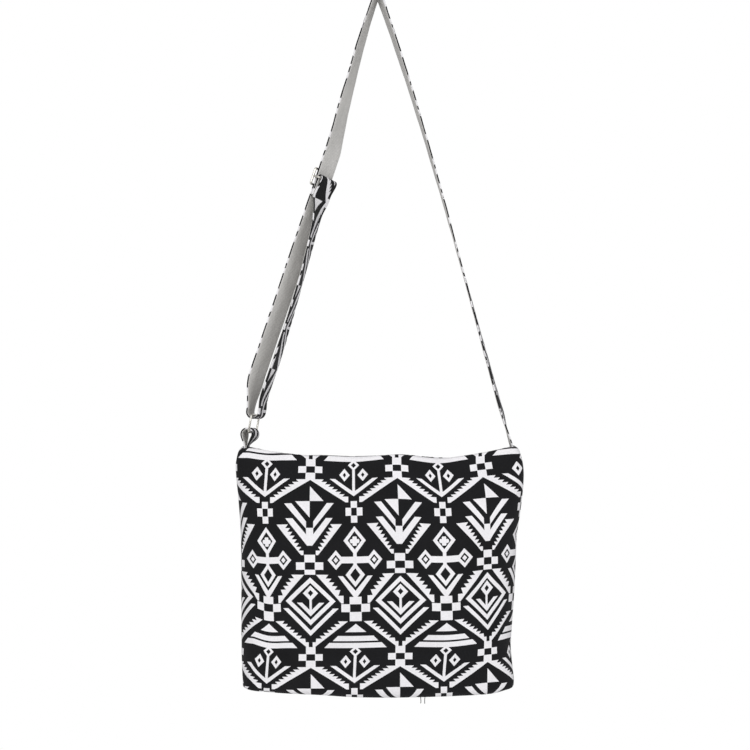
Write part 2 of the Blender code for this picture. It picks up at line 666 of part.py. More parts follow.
def return_strap():
    """The short layer: up from the ring, over the tri-glide's middle bar, with its end sewn below."""
    foot = LOOP_MIDDLE + RING_IN * LOOP_PATH + RING_UP * (LOOP_END + SEAM_GAP)
    tail_in = BAR_IN - BAR_LOOP
    ply_in = tail_in + STRAP + SEAM_GAP
    low = [
        foot + RING_UP * LOOP_END,
        foot + RING_UP * RETURN_START,
        RUN_FOOT + RUN_IN * RETURN_SPREAD_LOW + RUN_UP * (RETURN_LOW - FOOT_LENGTH),
        RUN_FOOT + RUN_IN * RETURN_SPREAD + RUN_UP * (RETURN_MIDDLE - FOOT_LENGTH),
        at_glide(-RETURN_HIGH, ply_in + SLACK_HIGH),
        at_glide(-RETURN_NEAR, ply_in + SLACK_NEAR),
        at_glide(-TAIL_LENGTH, ply_in),
        at_glide(-TAIL_LENGTH * 0.6, ply_in + SLACK_TAIL),
        at_glide(-RETURN_WRAP, BAR_IN + BAR_LOOP - SLACK_WRAP),
        at_glide(0.0, BAR_IN + BAR_LOOP),
    ]
    turn, low_lean, middle_lean, high_lean, near_lean = (math.radians(a) for a in RETURN_LEANS)
    wide_leans = [-RING_TURN, -turn, -low_lean, -middle_lean, -high_lean, -near_lean, -LEAN, -LEAN, -LEAN, -LEAN]
    steps = 3
    points = spline(low, steps)
    leans = [value for first, second in zip(wide_leans, wide_leans[1:])
             for value in (first + (second - first) * step / steps for step in range(steps))]
    leans.append(wide_leans[-1])
    samples = [(foot, RING_WIDE)]
    for index, (point, lean) in enumerate(zip(points, leans)):
        ahead = points[min(index + 1, len(points) - 1)]
        behind = points[max(index - 1, 0)]
        along = (ahead - behind).normalized()
        wide = math.cos(lean) * Y_AXIS - math.sin(lean) * RUN_IN
        samples.append((point, (wide - along * wide.dot(along)).normalized()))
    turn = 8
    for step in range(1, turn + 1):
        angle = math.pi * step / turn
        samples.append((at_glide(BAR_LOOP * math.sin(angle), BAR_IN + BAR_LOOP * math.cos(angle)), GLIDE_WIDE))
    samples.append((at_glide(-TAIL_LENGTH / 2, tail_in), GLIDE_WIDE))
    samples.append((at_glide(-TAIL_LENGTH, tail_in), GLIDE_WIDE))
    return samples


RIBBON_COLUMNS = 4


def ribbon_mesh(name, samples, width, low, high):
    """A flat band along samples of point and width direction, between two depths from its middle."""
    vertices, faces = [], []
    ring = [(2 * column / RIBBON_COLUMNS - 1, low) for column in range(RIBBON_COLUMNS + 1)]
    ring += [(1 - 2 * column / RIBBON_COLUMNS, high) for column in range(RIBBON_COLUMNS + 1)]
    size = len(ring)
    for index, (point, wide) in enumerate(samples):
        ahead = samples[min(index + 1, len(samples) - 1)][0]
        behind = samples[max(index - 1, 0)][0]
        along = (ahead - behind).normalized()
        inward = along.cross(wide).normalized()
        for side, depth in ring:
            vertices.append(point + wide * (side * width / 2) + inward * depth)
    for index in range(len(samples) - 1):
        base = index * size
        for corner in range(size):
            beside = (corner + 1) % size
            faces.append((base + corner, base + beside, base + size + beside, base + size + corner))
    for base in (0, (len(samples) - 1) * size):
        for column in range(RIBBON_COLUMNS):
            faces.append((base + column, base + column + 1, base + size - 2 - column, base + size - 1 - column))
    return mesh_from(name, vertices, faces)


def strap_layers(prefix, samples, printed, plain):
    """The printed cloth outside and its plain backing inside."""
    half = STRAP / 2
    face = ribbon_mesh(prefix + "_face", samples, STRAP_WIDTH, -half, -half + STRAP_FACE)
    back = ribbon_mesh(prefix + "_backing", samples, STRAP_WIDTH - 2 * BACK_MARGIN, half - STRAP_BACK, half)
    add_object(prefix + "_face", face, printed)
    add_object(prefix + "_backing", back, plain)


def ring_tab_samples():
    """The tab: up from the left end of the mouth, round the ring's lower side and back down."""
    ply = (STRAP + SEAM_GAP) / 2
    pull = math.cos(TAB_PULL) * RING_UP + math.sin(TAB_PULL) * RING_IN
    middle = RING_BAR - pull * (TAB_RADIUS - RING_WIRE - SEAM_GAP)
    path = TAB_RADIUS + STRAP / 2

    def base(z, side):
        inner = left_width(z) - HEM_SIDE - SEAM_GAP - CORNER_ROOM - STRAP / 2 - ply
        return Vector((-inner + side * ply, 0.0, z))

    levels = [BAG_HEIGHT - END_DEPTH, BAG_HEIGHT - END_DEPTH / 2, BAG_HEIGHT]
    turn = 10
    points = [base(z, -1) for z in levels]
    first, last = math.radians(195.0), math.radians(-20.0)
    arc = [middle + path * (math.cos(angle) * RING_IN + math.sin(angle) * RING_UP)
           for angle in (first + (last - first) * step / turn for step in range(turn + 1))]
    inside = len(levels)
    points += arc
    points += [base(z, 1) for z in reversed(levels)]
    wides = [Y_AXIS] * inside + [RING_WIDE] * len(arc) + [Y_AXIS] * inside
    return list(zip(points, wides))


# The metal parts

def tube_mesh(name, points, flat, radius, sides, closed):
    """A round wire along points that lie in one plane. flat is that plane's normal."""
    vertices, faces = [], []
    count = len(points)
    for index, point in enumerate(points):
        ahead = points[(index + 1) % count] if closed else points[min(index + 1, count - 1)]
        behind = points[index - 1] if closed else points[max(index - 1, 0)]
        along = (ahead - behind).normalized()
        across = along.cross(flat).normalized()
        for corner in range(sides):
            angle = 2 * math.pi * corner / sides
            vertices.append(point + radius * (math.cos(angle) * across + math.sin(angle) * flat))
    for index in range(count if closed else count - 1):
        base, following = index * sides, (index + 1) % count * sides
        for corner in range(sides):
            beside = (corner + 1) % sides
            faces.append((base + corner, base + beside, following + beside, following + corner))
    if not closed:
        faces.append(tuple(range(sides)))
        faces.append(tuple((count - 1) * sides + corner for corner in range(sides)))
    made = mesh_from(name, vertices, faces)
    smooth(made)
    return made


def ring_points():
    """The rounded rectangle that the ring's wire follows, seen from the side of the loop."""
    half = STRAP_WIDTH / 2 + EDGE_ROOM + RING_WIRE
    points = []
    corners = (
        (half - RING_CORNER, RING_HEIGHT - RING_CORNER, 0),
        (-half + RING_CORNER, RING_HEIGHT - RING_CORNER, 1),
        (-half + RING_CORNER, RING_CORNER, 2),
        (half - RING_CORNER, RING_CORNER, 3),
    )
    for y, up, quarter in corners:
        for step in range(5):
            angle = math.pi / 2 * (quarter + step / 4)
            points.append(RING_BAR + RING_WIDE * (y + RING_CORNER * math.cos(angle))
                          + RING_UP * (up + RING_CORNER * math.sin(angle)))
    return points


def corner_arc(before, corner, after, radius, steps):
    """Points of an arc that rounds a right-angled corner."""
    back = (before - corner).normalized()
    ahead = (after - corner).normalized()
    middle = corner + (back + ahead) * radius
    angles = [math.pi / 2 * step / steps for step in range(steps + 1)]
    return [middle - (ahead * math.cos(angle) + back * math.sin(angle)) * radius for angle in angles]


def tri_glide(finish):
    """A flat frame outside the strap, with a cranked middle bar that stands up from its two long sides."""
    half = GLIDE_HALF_LENGTH
    corners = [at_glide(along * half, END_BAR_IN, wide * RAIL_OUT) for along, wide in ((1, 1), (1, -1), (-1, -1), (-1, 1))]
    frame = []
    for index, corner in enumerate(corners):
        frame += corner_arc(corners[index - 1], corner, corners[(index + 1) % 4], GLIDE_CORNER, 3)
    made = add_object("tri_glide", tube_mesh("tri_glide", frame, GLIDE_IN, GLIDE_WIRE, 8, True), finish)
    sunk = END_BAR_IN - GLIDE_WIRE * 0.4
    foot_near, foot_far = at_glide(0.0, sunk, -RAIL_OUT), at_glide(0.0, sunk, RAIL_OUT)
    near, far = at_glide(0.0, BAR_IN, -RAIL_OUT), at_glide(0.0, BAR_IN, RAIL_OUT)
    path = [foot_near] + corner_arc(foot_near, near, far, GLIDE_CORNER, 3)
    path += corner_arc(near, far, foot_far, GLIDE_CORNER, 3) + [foot_far]
    bar = tube_mesh("tri_glide_bar", path, RUN_UP, GLIDE_BAR, 8, False)
    combine(made, add_object("tri_glide_bar", bar, finish), "UNION")


def build():
    for item in list(bpy.data.objects):
        bpy.data.objects.remove(item, do_unlink=True)
    printed = material("printed_cloth", (0.16, 0.16, 0.17), 0.9)
    plain = material("grey_backing", (0.30, 0.30, 0.30), 0.9)
    lining = material("lining_cloth", (0.02, 0.02, 0.02), 0.85)
    tape = material("zip_tape_cloth", (0.015, 0.015, 0.015), 0.8)
    teeth = material("zip_nylon", (0.02, 0.02, 0.02), 0.45)
    metal = material("nickel_plate", (0.62, 0.61, 0.58), 0.25, 1.0)

    for name, side in (("front_panel", -1), ("back_panel", 1)):
        panel = panel_mesh(name, side)
        smooth(panel)
        add_object(name, panel, printed)
    inside = lining_mesh("lining")
    smooth(inside)
    add_object("lining", inside, lining)

    for end, side in (("front", -1), ("back", 1)):
        add_object(f"zip_tape_{end}", tape_mesh(f"zip_tape_{end}", side), tape)
        add_object(f"zip_teeth_{end}", teeth_mesh(f"zip_teeth_{end}", side), teeth)
        near, far = sorted((side * NECK_EDGE, side * (NECK_EDGE + TEETH_WIDTH)))
        stop = block(f"zip_top_stop_{end}", (ZIP_END + SEAM_GAP, near, TEETH_UNDER),
                     (ZIP_END + SEAM_GAP + STOP_LENGTH, far, TEETH_TOP))
        add_object(f"zip_top_stop_{end}", stop, metal)
    reach = NECK_EDGE + TEETH_WIDTH
    stop = block("zip_bottom_stop", (-ZIP_END - SEAM_GAP - STOP_LENGTH, -reach, TEETH_UNDER),
                 (-ZIP_END - SEAM_GAP, reach, TEETH_TOP))
    add_object("zip_bottom_stop", stop, metal)

    slider = add_object("zip_slider", slider_mesh("zip_slider"), metal)
    combine(slider, add_object("zip_bail", bail_mesh("zip_bail"), metal), "UNION")
    pull = add_object("zip_pull", pull_mesh("zip_pull"), metal)
    eye_wide = BAIL_WIDTH / 2 + BAIL_CLEARANCE
    eye = block("zip_pull_eye", (SLIDER_REST - PULL_THICKNESS / 2 - PULL_EYE, -eye_wide, PULL_AXIS_Z - PULL_THICKNESS),
                (SLIDER_REST - PULL_THICKNESS / 2, eye_wide, PULL_AXIS_Z + PULL_THICKNESS))
    combine(pull, add_object("zip_pull_eye", eye, metal), "DIFFERENCE")

    strap_layers("strap", running_strap(), printed, plain)
    strap_layers("strap_return", return_strap(), printed, plain)
    tab = ribbon_mesh("ring_tab", ring_tab_samples(), STRAP_WIDTH, -STRAP / 2, STRAP / 2)
    add_object("ring_tab", tab, printed)
    ring = tube_mesh("ring", ring_points(), RING_IN, RING_WIRE, 10, True)
    add_object("ring", ring, metal)
    tri_glide(metal)

    axis_at = {
        "ring": RING_BAR,
        "tri_glide": GLIDE_POINT,
        "zip_slider": Vector((SLIDER_REST, 0.0, ZIP_LEVEL)),
        "zip_pull": Vector((SLIDER_REST, 0.0, PULL_AXIS_Z)),
    }
    for name, place in axis_at.items():
        piece = bpy.data.objects[name]
        piece.data.transform(Matrix.Translation(-place))
        piece.location = place


build()
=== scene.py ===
# %% [markdown]
# # A woven crossbody bag, hanging by its strap
# This notebook dresses a measured model of a small cloth bag. The measured model says where every
# piece is and how it moves. Here the cloth gets its woven figure, the strap its canvas backing, and the
# zip, ring and slider their metal.

# %% Load the measured model
import math
from bisect import bisect_right

import bmesh
import bpy
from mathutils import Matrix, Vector
from mathutils.geometry import delaunay_2d_cdt


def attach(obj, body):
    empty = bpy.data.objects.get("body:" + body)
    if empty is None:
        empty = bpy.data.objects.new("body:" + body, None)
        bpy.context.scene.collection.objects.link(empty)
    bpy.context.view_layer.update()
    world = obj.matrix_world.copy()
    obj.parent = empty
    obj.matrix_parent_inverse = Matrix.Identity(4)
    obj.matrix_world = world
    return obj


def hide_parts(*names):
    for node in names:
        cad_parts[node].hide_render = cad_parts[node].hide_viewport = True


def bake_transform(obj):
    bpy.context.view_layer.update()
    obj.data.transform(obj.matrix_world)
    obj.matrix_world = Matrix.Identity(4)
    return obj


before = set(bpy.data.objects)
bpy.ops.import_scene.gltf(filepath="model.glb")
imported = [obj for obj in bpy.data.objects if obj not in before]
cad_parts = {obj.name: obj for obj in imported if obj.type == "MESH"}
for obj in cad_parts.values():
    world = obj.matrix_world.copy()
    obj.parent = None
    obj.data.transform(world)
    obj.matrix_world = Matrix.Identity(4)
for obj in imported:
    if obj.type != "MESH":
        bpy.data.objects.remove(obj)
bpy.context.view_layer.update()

# %% [markdown]
# ## Units and a few shared curves
# All sizes below are in millimetres, because cloth and zips are talked about in millimetres. One
# factor turns them to Blender's metres when a mesh is made. `between` draws a smooth curve through a
# few pairs of place and value, which is how a soft outline is best written down. Where the picture
# shows an outline, its places were read off enlargements. Most of the others are chosen.

# %% Units and curves
MM = 0.001
Y_AXIS = Vector((0.0, 1.0, 0.0))


def ease(value):
    """0 to 1 with a soft start and end."""
    value = min(max(value, 0.0), 1.0)
    return value * value * (3.0 - 2.0 * value)


def between(pairs, at):
    """A smooth value at a place, through pairs of place and value."""
    if at <= pairs[0][0]:
        return pairs[0][1]
    for index in range(len(pairs) - 1):
        (x0, y0), (x1, y1) = pairs[index], pairs[index + 1]
        if at <= x1:
            before, after = pairs[max(index - 1, 0)], pairs[min(index + 2, len(pairs) - 1)]
            slope0 = (y1 - before[1]) / (x1 - before[0])
            slope1 = (after[1] - y0) / (after[0] - x0)
            t = (at - x0) / (x1 - x0)
            bend = t * (1 - t) * ((1 - t) * slope0 - t * slope1) * (x1 - x0)
            return y0 + (y1 - y0) * ease(t) + bend
    return pairs[-1][1]


def rectangle(x0, x1, y0, y1):
    """The four corners of a rectangle between two places across and two places up."""
    return [(x0, y0), (x1, y0), (x1, y1), (x0, y1)]


def both_sides(points):
    """An outline from its one half: the half, then its mirror image on the way back."""
    return points + [(-x, y) for x, y in points[::-1]]


def add_object(name, data):
    """A new object in the scene, with its mesh, lamp or camera data."""
    made = bpy.data.objects.new(name, data)
    bpy.context.scene.collection.objects.link(made)
    return made


# %% [markdown]
# ## The camera
# The bag is looked at from straight in front, a little above its top edge. The picture tells neither
# distance nor size, so both are assumed: 1.9 m, and one millimetre in the plane of the side seams for
# each pixel of a 750 pixel picture. The lens follows from the distance and the width of the view.

# %% Camera
VIEW_WIDTH = 750.0
VIEW_DISTANCE = 1900.0
VIEW_MIDDLE = (-4.4, 317.0)
SENSOR = 36.0

lens_data = bpy.data.cameras.new("front_view")
lens_data.sensor_width = SENSOR
lens_data.lens = SENSOR * VIEW_DISTANCE / VIEW_WIDTH
camera = add_object("front_view", lens_data)
camera.location = (VIEW_MIDDLE[0] * MM, -VIEW_DISTANCE * MM, VIEW_MIDDLE[1] * MM)
camera.rotation_euler = (math.radians(90.0), 0.0, 0.0)
bpy.context.scene.camera = camera
print("lens", round(lens_data.lens, 1), "mm")

# %% [markdown]
# ## Helpers for materials
# A colour is written as the sRGB hex value that a colour picker shows, and one function turns it to
# the linear value that shaders work with. Two small functions add a node and fill in its inputs.

# %% Material helpers


def linear(hex_colour):
    """An sRGB hex colour as linear RGBA."""
    made = []
    for start in (1, 3, 5):
        value = int(hex_colour[start:start + 2], 16) / 255.0
        made.append(value / 12.92 if value <= 0.04045 else ((value + 0.055) / 1.055) ** 2.4)
    return (*made, 1.0)


def fill(node, inputs):
    """Fills a node's inputs. Each is a value, or the socket that it is linked from."""
    for key, value in inputs.items():
        if isinstance(value, bpy.types.NodeSocket):
            node.id_data.links.new(value, node.inputs[key])
        else:
            node.inputs[key].default_value = value


def add_node(tree, kind, inputs=None, **settings):
    """A node with its settings and inputs."""
    made = tree.nodes.new(kind)
    for key, value in settings.items():
        setattr(made, key, value)
    fill(made, inputs or {})
    return made


def add_bump(tree, height, strength, distance):
    """The normal of a relief that rises by a distance in mm."""
    bump = add_node(tree, "ShaderNodeBump", {
        "Height": height, "Strength": strength, "Distance": distance * MM})
    return bump.outputs["Normal"]


def new_finish(name):
    """An empty material with its node tree and its shader."""
    made = bpy.data.materials.new(name)
    made.use_nodes = True
    shader = made.node_tree.nodes["Principled BSDF"]
    return made, made.node_tree, shader


# %% [markdown]
# ## Jacquard cloth
# The bag is sewn from a jacquard: the figure isn't printed but woven, by letting either the black or
# the white yarn float on top. Each yarn colour therefore gets its own material, and both share the
# same build: thin ribs in two directions for warp and weft, a colour that darkens between the threads
# as painted shade over a fine random fuzz of tone, and a slow drift of tone, because yarn takes dye
# unevenly. The picture shows no single threads. Real ones may be 0.5 mm apart, which is too fine to
# show from two metres away, so they are drawn 1.1 mm apart. Cotton has no gloss: it gets a high
# roughness and a little sheen, for the fuzz.

# %% Woven finishes
WAVE_INSIDE = 20.0        # a wave texture multiplies its places by this
FUZZ_SIZE, TONE_SIZE = 1.6, 38.0


def woven_finish(name, colour, deep, spacing, relief, sheen, mottle):
    """Woven yarn: colour is the top of a thread, deep the painted shade between threads."""
    made, tree, shader = new_finish(name)
    flat = add_node(tree, "ShaderNodeUVMap", uv_map="cloth").outputs["UV"]
    warp, weft = (add_node(tree, "ShaderNodeTexWave", {
        "Vector": flat, "Scale": 2 * math.pi / (WAVE_INSIDE * spacing * MM),
        "Distortion": 0.6, "Detail": 1.0, "Detail Scale": 1.5,
    }, wave_type="BANDS", bands_direction=direction, wave_profile="SIN") for direction in ("X", "Y"))
    weave = add_node(tree, "ShaderNodeMath", {
        0: warp.outputs["Fac"], 1: weft.outputs["Fac"]}, operation="MULTIPLY")
    fuzz, patches = (add_node(tree, "ShaderNodeTexNoise", {
        "Vector": flat, "Scale": 1.0 / (size * MM), "Detail": detail, "Roughness": rough})
        for size, detail, rough in ((FUZZ_SIZE, 3.0, 0.65), (TONE_SIZE, 2.0, 0.5)))
    lifted = add_node(tree, "ShaderNodeMath", {0: weave.outputs[0], 1: fuzz.outputs["Fac"]}, operation="ADD")
    # Painted shade: the colour runs from deep between the threads, where the ribs dip, to colour on their
    # tops, mixed with a random fuzz of tone.
    groove_shade_and_fuzz = add_node(tree, "ShaderNodeMapRange", {
        "Value": lifted.outputs[0], "From Min": 0.25, "From Max": 1.25})
    cloth = add_node(tree, "ShaderNodeMix", {
        "Factor": groove_shade_and_fuzz.outputs[0], "A": linear(deep), "B": linear(colour)}, data_type="RGBA")
    shade = add_node(tree, "ShaderNodeMapRange", {
        "Value": patches.outputs["Fac"], "From Min": 0.3, "From Max": 0.7,
        "To Min": 1.0 - mottle, "To Max": 1.0 + mottle / 2})
    toned = add_node(tree, "ShaderNodeMix", {
        "Factor": 1.0, "A": cloth.outputs["Result"], "B": shade.outputs[0],
    }, data_type="RGBA", blend_type="MULTIPLY")
    fill(shader, {
        "Base Color": toned.outputs["Result"], "Normal": add_bump(tree, lifted.outputs[0], 0.6, relief),
        "Roughness": 0.92, "Specular IOR Level": 0.25, "Sheen Weight": sheen, "Sheen Roughness": 0.6})
    return made


black_yarn = woven_finish("jacquard_black_cotton", "#1b1b1e", "#060608", 1.1, 0.22, 0.015, 0.3)
white_yarn = woven_finish("jacquard_white_cotton", "#f4f3f5", "#d2d0d4", 1.1, 0.22, 0.05, 0.05)
print("woven finishes:", black_yarn.name, white_yarn.name)

# %% [markdown]
# The strap's inside is a plain cotton canvas in light grey, coarser than the jacquard: a melange of white
# and grey yarn. The lining is a thin black polyester, and the zip tape a dense black polyester braid. Like
# the jacquard, each of these and the sewing thread is darker between its threads by painted shade.

# %% Canvas, lining and tape
grey_canvas = woven_finish("canvas_grey_cotton", "#dddbd8", "#a9a8a6", 1.3, 0.30, 0.05, 0.08)
lining_cloth = woven_finish("lining_black_polyester", "#1c1c1e", "#0f0f10", 0.6, 0.08, 0.03, 0.10)
tape_braid = woven_finish("zip_tape_black_polyester", "#1b1b1d", "#0d0d0e", 1.0, 0.20, 0.03, 0.10)
sewing_thread = woven_finish("sewing_thread_black_polyester", "#161618", "#0a0a0b", 0.5, 0.05, 0.0, 0.05)

# %% [markdown]
# The ring and the tri-glide are taken to be steel wire and the zip's slider to be die-cast zinc, all with a
# bright nickel plate. Nickel is a slightly warm metal. It is polished before plating, so it is glossy, with
# faint hairlines from handling. The zip's teeth are moulded polyamide, which has a soft satin gloss.

# %% Metal and plastic
def plated_finish(name, colour, roughness, hairline):
    """Polished nickel plate with faint hairlines and a few duller places."""
    made, tree, shader = new_finish(name)
    place = add_node(tree, "ShaderNodeTexCoord")
    stretched = add_node(tree, "ShaderNodeMapping", {
        "Vector": place.outputs["Object"], "Scale": (300.0, 2500.0, 300.0)})
    lines = add_node(tree, "ShaderNodeTexNoise", {
        "Vector": stretched.outputs["Vector"], "Scale": 1.0, "Detail": 3.0})
    wear = add_node(tree, "ShaderNodeTexNoise", {
        "Vector": place.outputs["Object"], "Scale": 220.0, "Detail": 2.0})
    dull = add_node(tree, "ShaderNodeMapRange", {
        "Value": wear.outputs["Fac"], "From Min": 0.35, "From Max": 0.7,
        "To Min": roughness, "To Max": roughness + 0.14})
    fill(shader, {"Base Color": linear(colour), "Metallic": 1.0, "Roughness": dull.outputs[0],
                  "Normal": add_bump(tree, lines.outputs["Fac"], hairline, 0.05)})
    return made


def moulded_finish(name, colour):
    """Satin moulded polyamide with a very fine grain."""
    made, tree, shader = new_finish(name)
    place = add_node(tree, "ShaderNodeTexCoord")
    grain = add_node(tree, "ShaderNodeTexNoise", {
        "Vector": place.outputs["Object"], "Scale": 2500.0, "Detail": 2.0})
    fill(shader, {"Base Color": linear(colour), "Roughness": 0.42,
                  "Normal": add_bump(tree, grain.outputs["Fac"], 0.3, 0.03)})
    return made


nickel = plated_finish("nickel_plated_steel", "#d6d3cc", 0.16, 0.15)
nylon = moulded_finish("moulded_black_polyamide", "#1d1d1f")

# %% [markdown]
# ## Drawing the figure
# The woven figure repeats every 87.3 units across and 186.5 units down, where a unit is just under a
# millimetre of cloth. It has two upright axes of symmetry. On the flower axis stand a flower between two
# bars, a small checker, a cross and a large checker. On the diamond axis, half a repeat to the side, stand
# a checker under a saw-toothed roof, a pinwheel over two chevrons, another checker and a large diamond.
# Each shape is a polygon with its colour, and later ones cover earlier ones, as if cut from paper.

# %% Figure shapes
REPEAT_X = 87.3
REPEAT_Y = 186.5
WHITE, BLACK = 1, 0
figure_cell = []


def draw(axis, colour, points, mirrored=True):
    """Adds a polygon to an axis (0 flower, 1 diamond), and its mirror image unless it has none."""
    shift = axis * REPEAT_X / 2
    figure_cell.append((colour, [(x + shift, y) for x, y in points]))
    if mirrored:
        figure_cell.append((colour, [(shift - x, y) for x, y in points]))


def lozenge(axis, colour, middle, half_width, half_height):
    x, y = middle
    points = [(x - half_width, y), (x, y - half_height), (x + half_width, y), (x, y + half_height)]
    draw(axis, colour, points, mirrored=x != 0.0)


def upright(axis, colour, inner, outer, top, bottom):
    """A rectangle between two distances from the axis. An inner distance of 0 puts it on the axis."""
    draw(axis, colour, rectangle(inner or -outer, outer, top, bottom), mirrored=inner != 0.0)


def teeth(first, last, count, cut):
    """Saw teeth along a line of tips. cut is how far each notch reaches back, along x."""
    points = [first]
    for index in range(1, count):
        x, y = (a + (b - a) * index / (count - 1) for a, b in zip(first, last))
        points += [(points[-1][0] + cut, y), (x, y)]
    return points


def checker(axis, block_width, arm, rows):
    """Four white blocks round a black one. rows are the four levels of their edges."""
    top, upper, lower, bottom = rows
    upright(axis, WHITE, 0.0, block_width, top, upper)
    upright(axis, WHITE, 0.0, block_width, lower, bottom)
    upright(axis, WHITE, block_width - 0.4, arm, upper - 0.1, lower + 0.1)


# %% [markdown]
# The flower axis, from the triangle under the large checker down to the next large checker.

# %% Flower axis
draw(0, WHITE, [(0.0, 3.3), (10.3, 11.4), (-10.3, 11.4)], mirrored=False)
draw(0, WHITE, [(-17.3, 15.2), (17.3, 15.2), (22.2, 20.3), (-22.2, 20.3)], mirrored=False)
draw(0, WHITE, [(-25.5, 22.1), (25.5, 22.1), (30.4, 27.3), (-30.4, 27.3)], mirrored=False)
lozenge(0, WHITE, (0.0, 30.8), 5.7, 5.7)
lozenge(0, BLACK, (0.0, 30.9), 2.6, 2.6)
lozenge(0, WHITE, (9.2, 41.2), 5.4, 6.7)
lozenge(0, BLACK, (9.2, 41.2), 1.7, 2.6)
upright(0, WHITE, 0.0, 1.35, 35.5, 60.0)
draw(0, WHITE, [(-24.3, 45.5), (-18.6, 45.5), (0.0, 58.9), (0.0, 63.3)])
checker(0, 3.1, 8.3, (68.3, 75.0, 82.8, 89.8))
lozenge(0, WHITE, (0.0, 107.5), 10.9, 14.3)
lozenge(0, BLACK, (0.0, 107.3), 6.8, 9.0)
petals = [(1.6, 103.4), (2.2, 104.6), (2.1, 106.0), (3.6, 105.9), (4.6, 106.9), (4.6, 109.1), (3.6, 110.1),
          (2.1, 110.0), (2.2, 111.4), (1.6, 112.6)]
draw(0, WHITE, both_sides(petals), mirrored=False)
upright(0, WHITE, 0.0, 1.7, 119.0, 131.5)
upright(0, WHITE, 0.0, 13.5, 123.3, 129.8)
lozenge(0, WHITE, (18.5, 126.7), 8.0, 9.8)
lozenge(0, BLACK, (18.6, 126.7), 4.2, 5.3)
lozenge(0, WHITE, (18.6, 126.7), 2.3, 2.9)
lozenge(0, WHITE, (0.0, 141.5), 9.4, 12.2)
lozenge(0, BLACK, (0.0, 141.5), 4.9, 6.8)
draw(0, WHITE, [(-16.8, 142.6), (-12.0, 142.6), (0.0, 157.4), (0.0, 163.8), (-1.5, 163.8)])
checker(0, 5.8, 13.9, (163.4, 170.7, 178.3, 187.2))

# %% [markdown]
# The diamond axis, from the upper checker down to the saw-toothed bands that close round the next one.

# %% Diamond axis
checker(1, 4.7, 11.8, (26.5, 33.5, 39.9, 46.5))
roof = teeth((13.4, 46.4), (38.2, 63.6), 8, -2.4)
draw(1, WHITE, [(0.0, 46.4)] + roof + [(38.2, 69.4), (35.6, 69.4), (0.0, 47.1)])
draw(1, WHITE, [(0.0, 53.5), (13.6, 68.1), (0.0, 68.1)], mirrored=False)
draw(1, WHITE, [(-13.4, 68.2), (0.0, 68.2), (0.0, 84.6)], mirrored=False)
draw(1, WHITE, [(23.7, 70.1), (16.8, 70.1), (3.4, 88.4), (3.4, 95.6)])
draw(1, WHITE, [(-22.4, 85.0), (-15.8, 85.0), (-3.4, 101.2), (-3.4, 94.7), (0.0, 94.7), (0.0, 112.3),
                (-2.5, 112.3)])
saw = teeth((-20.0, 91.1), (-5.8, 117.2), 8, -2.6)
draw(1, WHITE, [(-31.4, 91.1)] + saw + [(-5.8, 121.7), (-8.0, 121.7)])
checker(1, 5.1, 12.9, (121.3, 128.9, 136.2, 141.3))
above = teeth((-17.6, 141.3), (-29.0, 156.5), 5, 2.6)
draw(1, WHITE, [(-5.6, 141.3)] + above + [(-27.0, 162.3), (-32.0, 162.3), (-32.0, 169.9), (-29.8, 169.9)])
lozenge(1, WHITE, (0.0, 167.9), 24.3, 23.8)
lozenge(1, BLACK, (0.0, 168.0), 18.6, 18.4)
lozenge(1, WHITE, (0.0, 160.2), 7.3, 8.0)
lozenge(1, BLACK, (0.0, 160.0), 2.7, 3.2)
upright(1, WHITE, 0.0, 1.15, 167.0, 180.0)
draw(1, WHITE, [(-13.2, 169.6), (-8.3, 169.6), (0.0, 177.9), (0.0, 183.0)])
draw(1, WHITE, [(-27.1, 175.0), (-21.8, 175.0), (0.0, 196.7), (0.0, 201.8)])
below = teeth((-26.3, 187.4), (-5.4, 204.5), 7, -2.2)
draw(1, WHITE, [(-36.0, 187.4)] + below + [(-5.0, 208.1), (-1.9, 208.1), (-1.9, 212.9), (0.0, 212.9),
                                           (0.0, 214.0), (-4.7, 214.0), (-4.7, 212.4)])
print("shapes in one repeat:", len(figure_cell))

# %% [markdown]
# ## Cutting the cloth
# To keep the figure's edges crisp at any distance, the cloth's mesh is cut along them. A constrained
# Delaunay triangulation takes the outline of a flat piece of cloth, the figure's polygons and a net of
# extra points where the cloth has to bend, and returns triangles of which none crosses an edge. Each
# triangle takes the yarn colour of the last shape that covers it. The flat piece is then laid in place by
# a function from flat cloth to space, which also gives smooth normals. A long straight side of a shape
# would cut through a bend of the cloth, so the sides are divided first, finely where the bend is tight.

# %% Figure on flat cloth
UNIT = 0.98367            # mm of cloth for one unit of the drawing
COLUMNS_EACH_WAY, ROWS_EACH_WAY = 14, 8


def figure_on(low, high, origin, turn=False, slip=None):
    """The figure's polygons that touch a box of flat cloth, in mm.

    origin is the cloth's place in the drawing. turn lays the drawing's x backwards along the second axis.
    slip gives how far the figure has slipped across and along the cloth at a place along it.
    """
    placed = []
    side = -1.0 if turn else 1.0
    for column in range(-COLUMNS_EACH_WAY, COLUMNS_EACH_WAY + 1):
        for row in range(-ROWS_EACH_WAY, ROWS_EACH_WAY + 1):
            for colour, points in figure_cell:
                moved = []
                for x, y in points:
                    across = origin[0] + side * UNIT * (x + column * REPEAT_X)
                    down = origin[1] - UNIT * (y + row * REPEAT_Y)
                    aside, ahead = slip(across) if slip else (0.0, 0.0)
                    moved.append((down + aside, across + ahead) if turn else (across, down))
                xs, ys = [p[0] for p in moved], [p[1] for p in moved]
                if max(xs) > low[0] and min(xs) < high[0] and max(ys) > low[1] and min(ys) < high[1]:
                    placed.append((colour, moved))
    return placed


def area_of(points):
    return sum(x0 * y1 - x1 * y0 for (x0, y0), (x1, y1) in zip(points, points[1:] + points[:1])) / 2


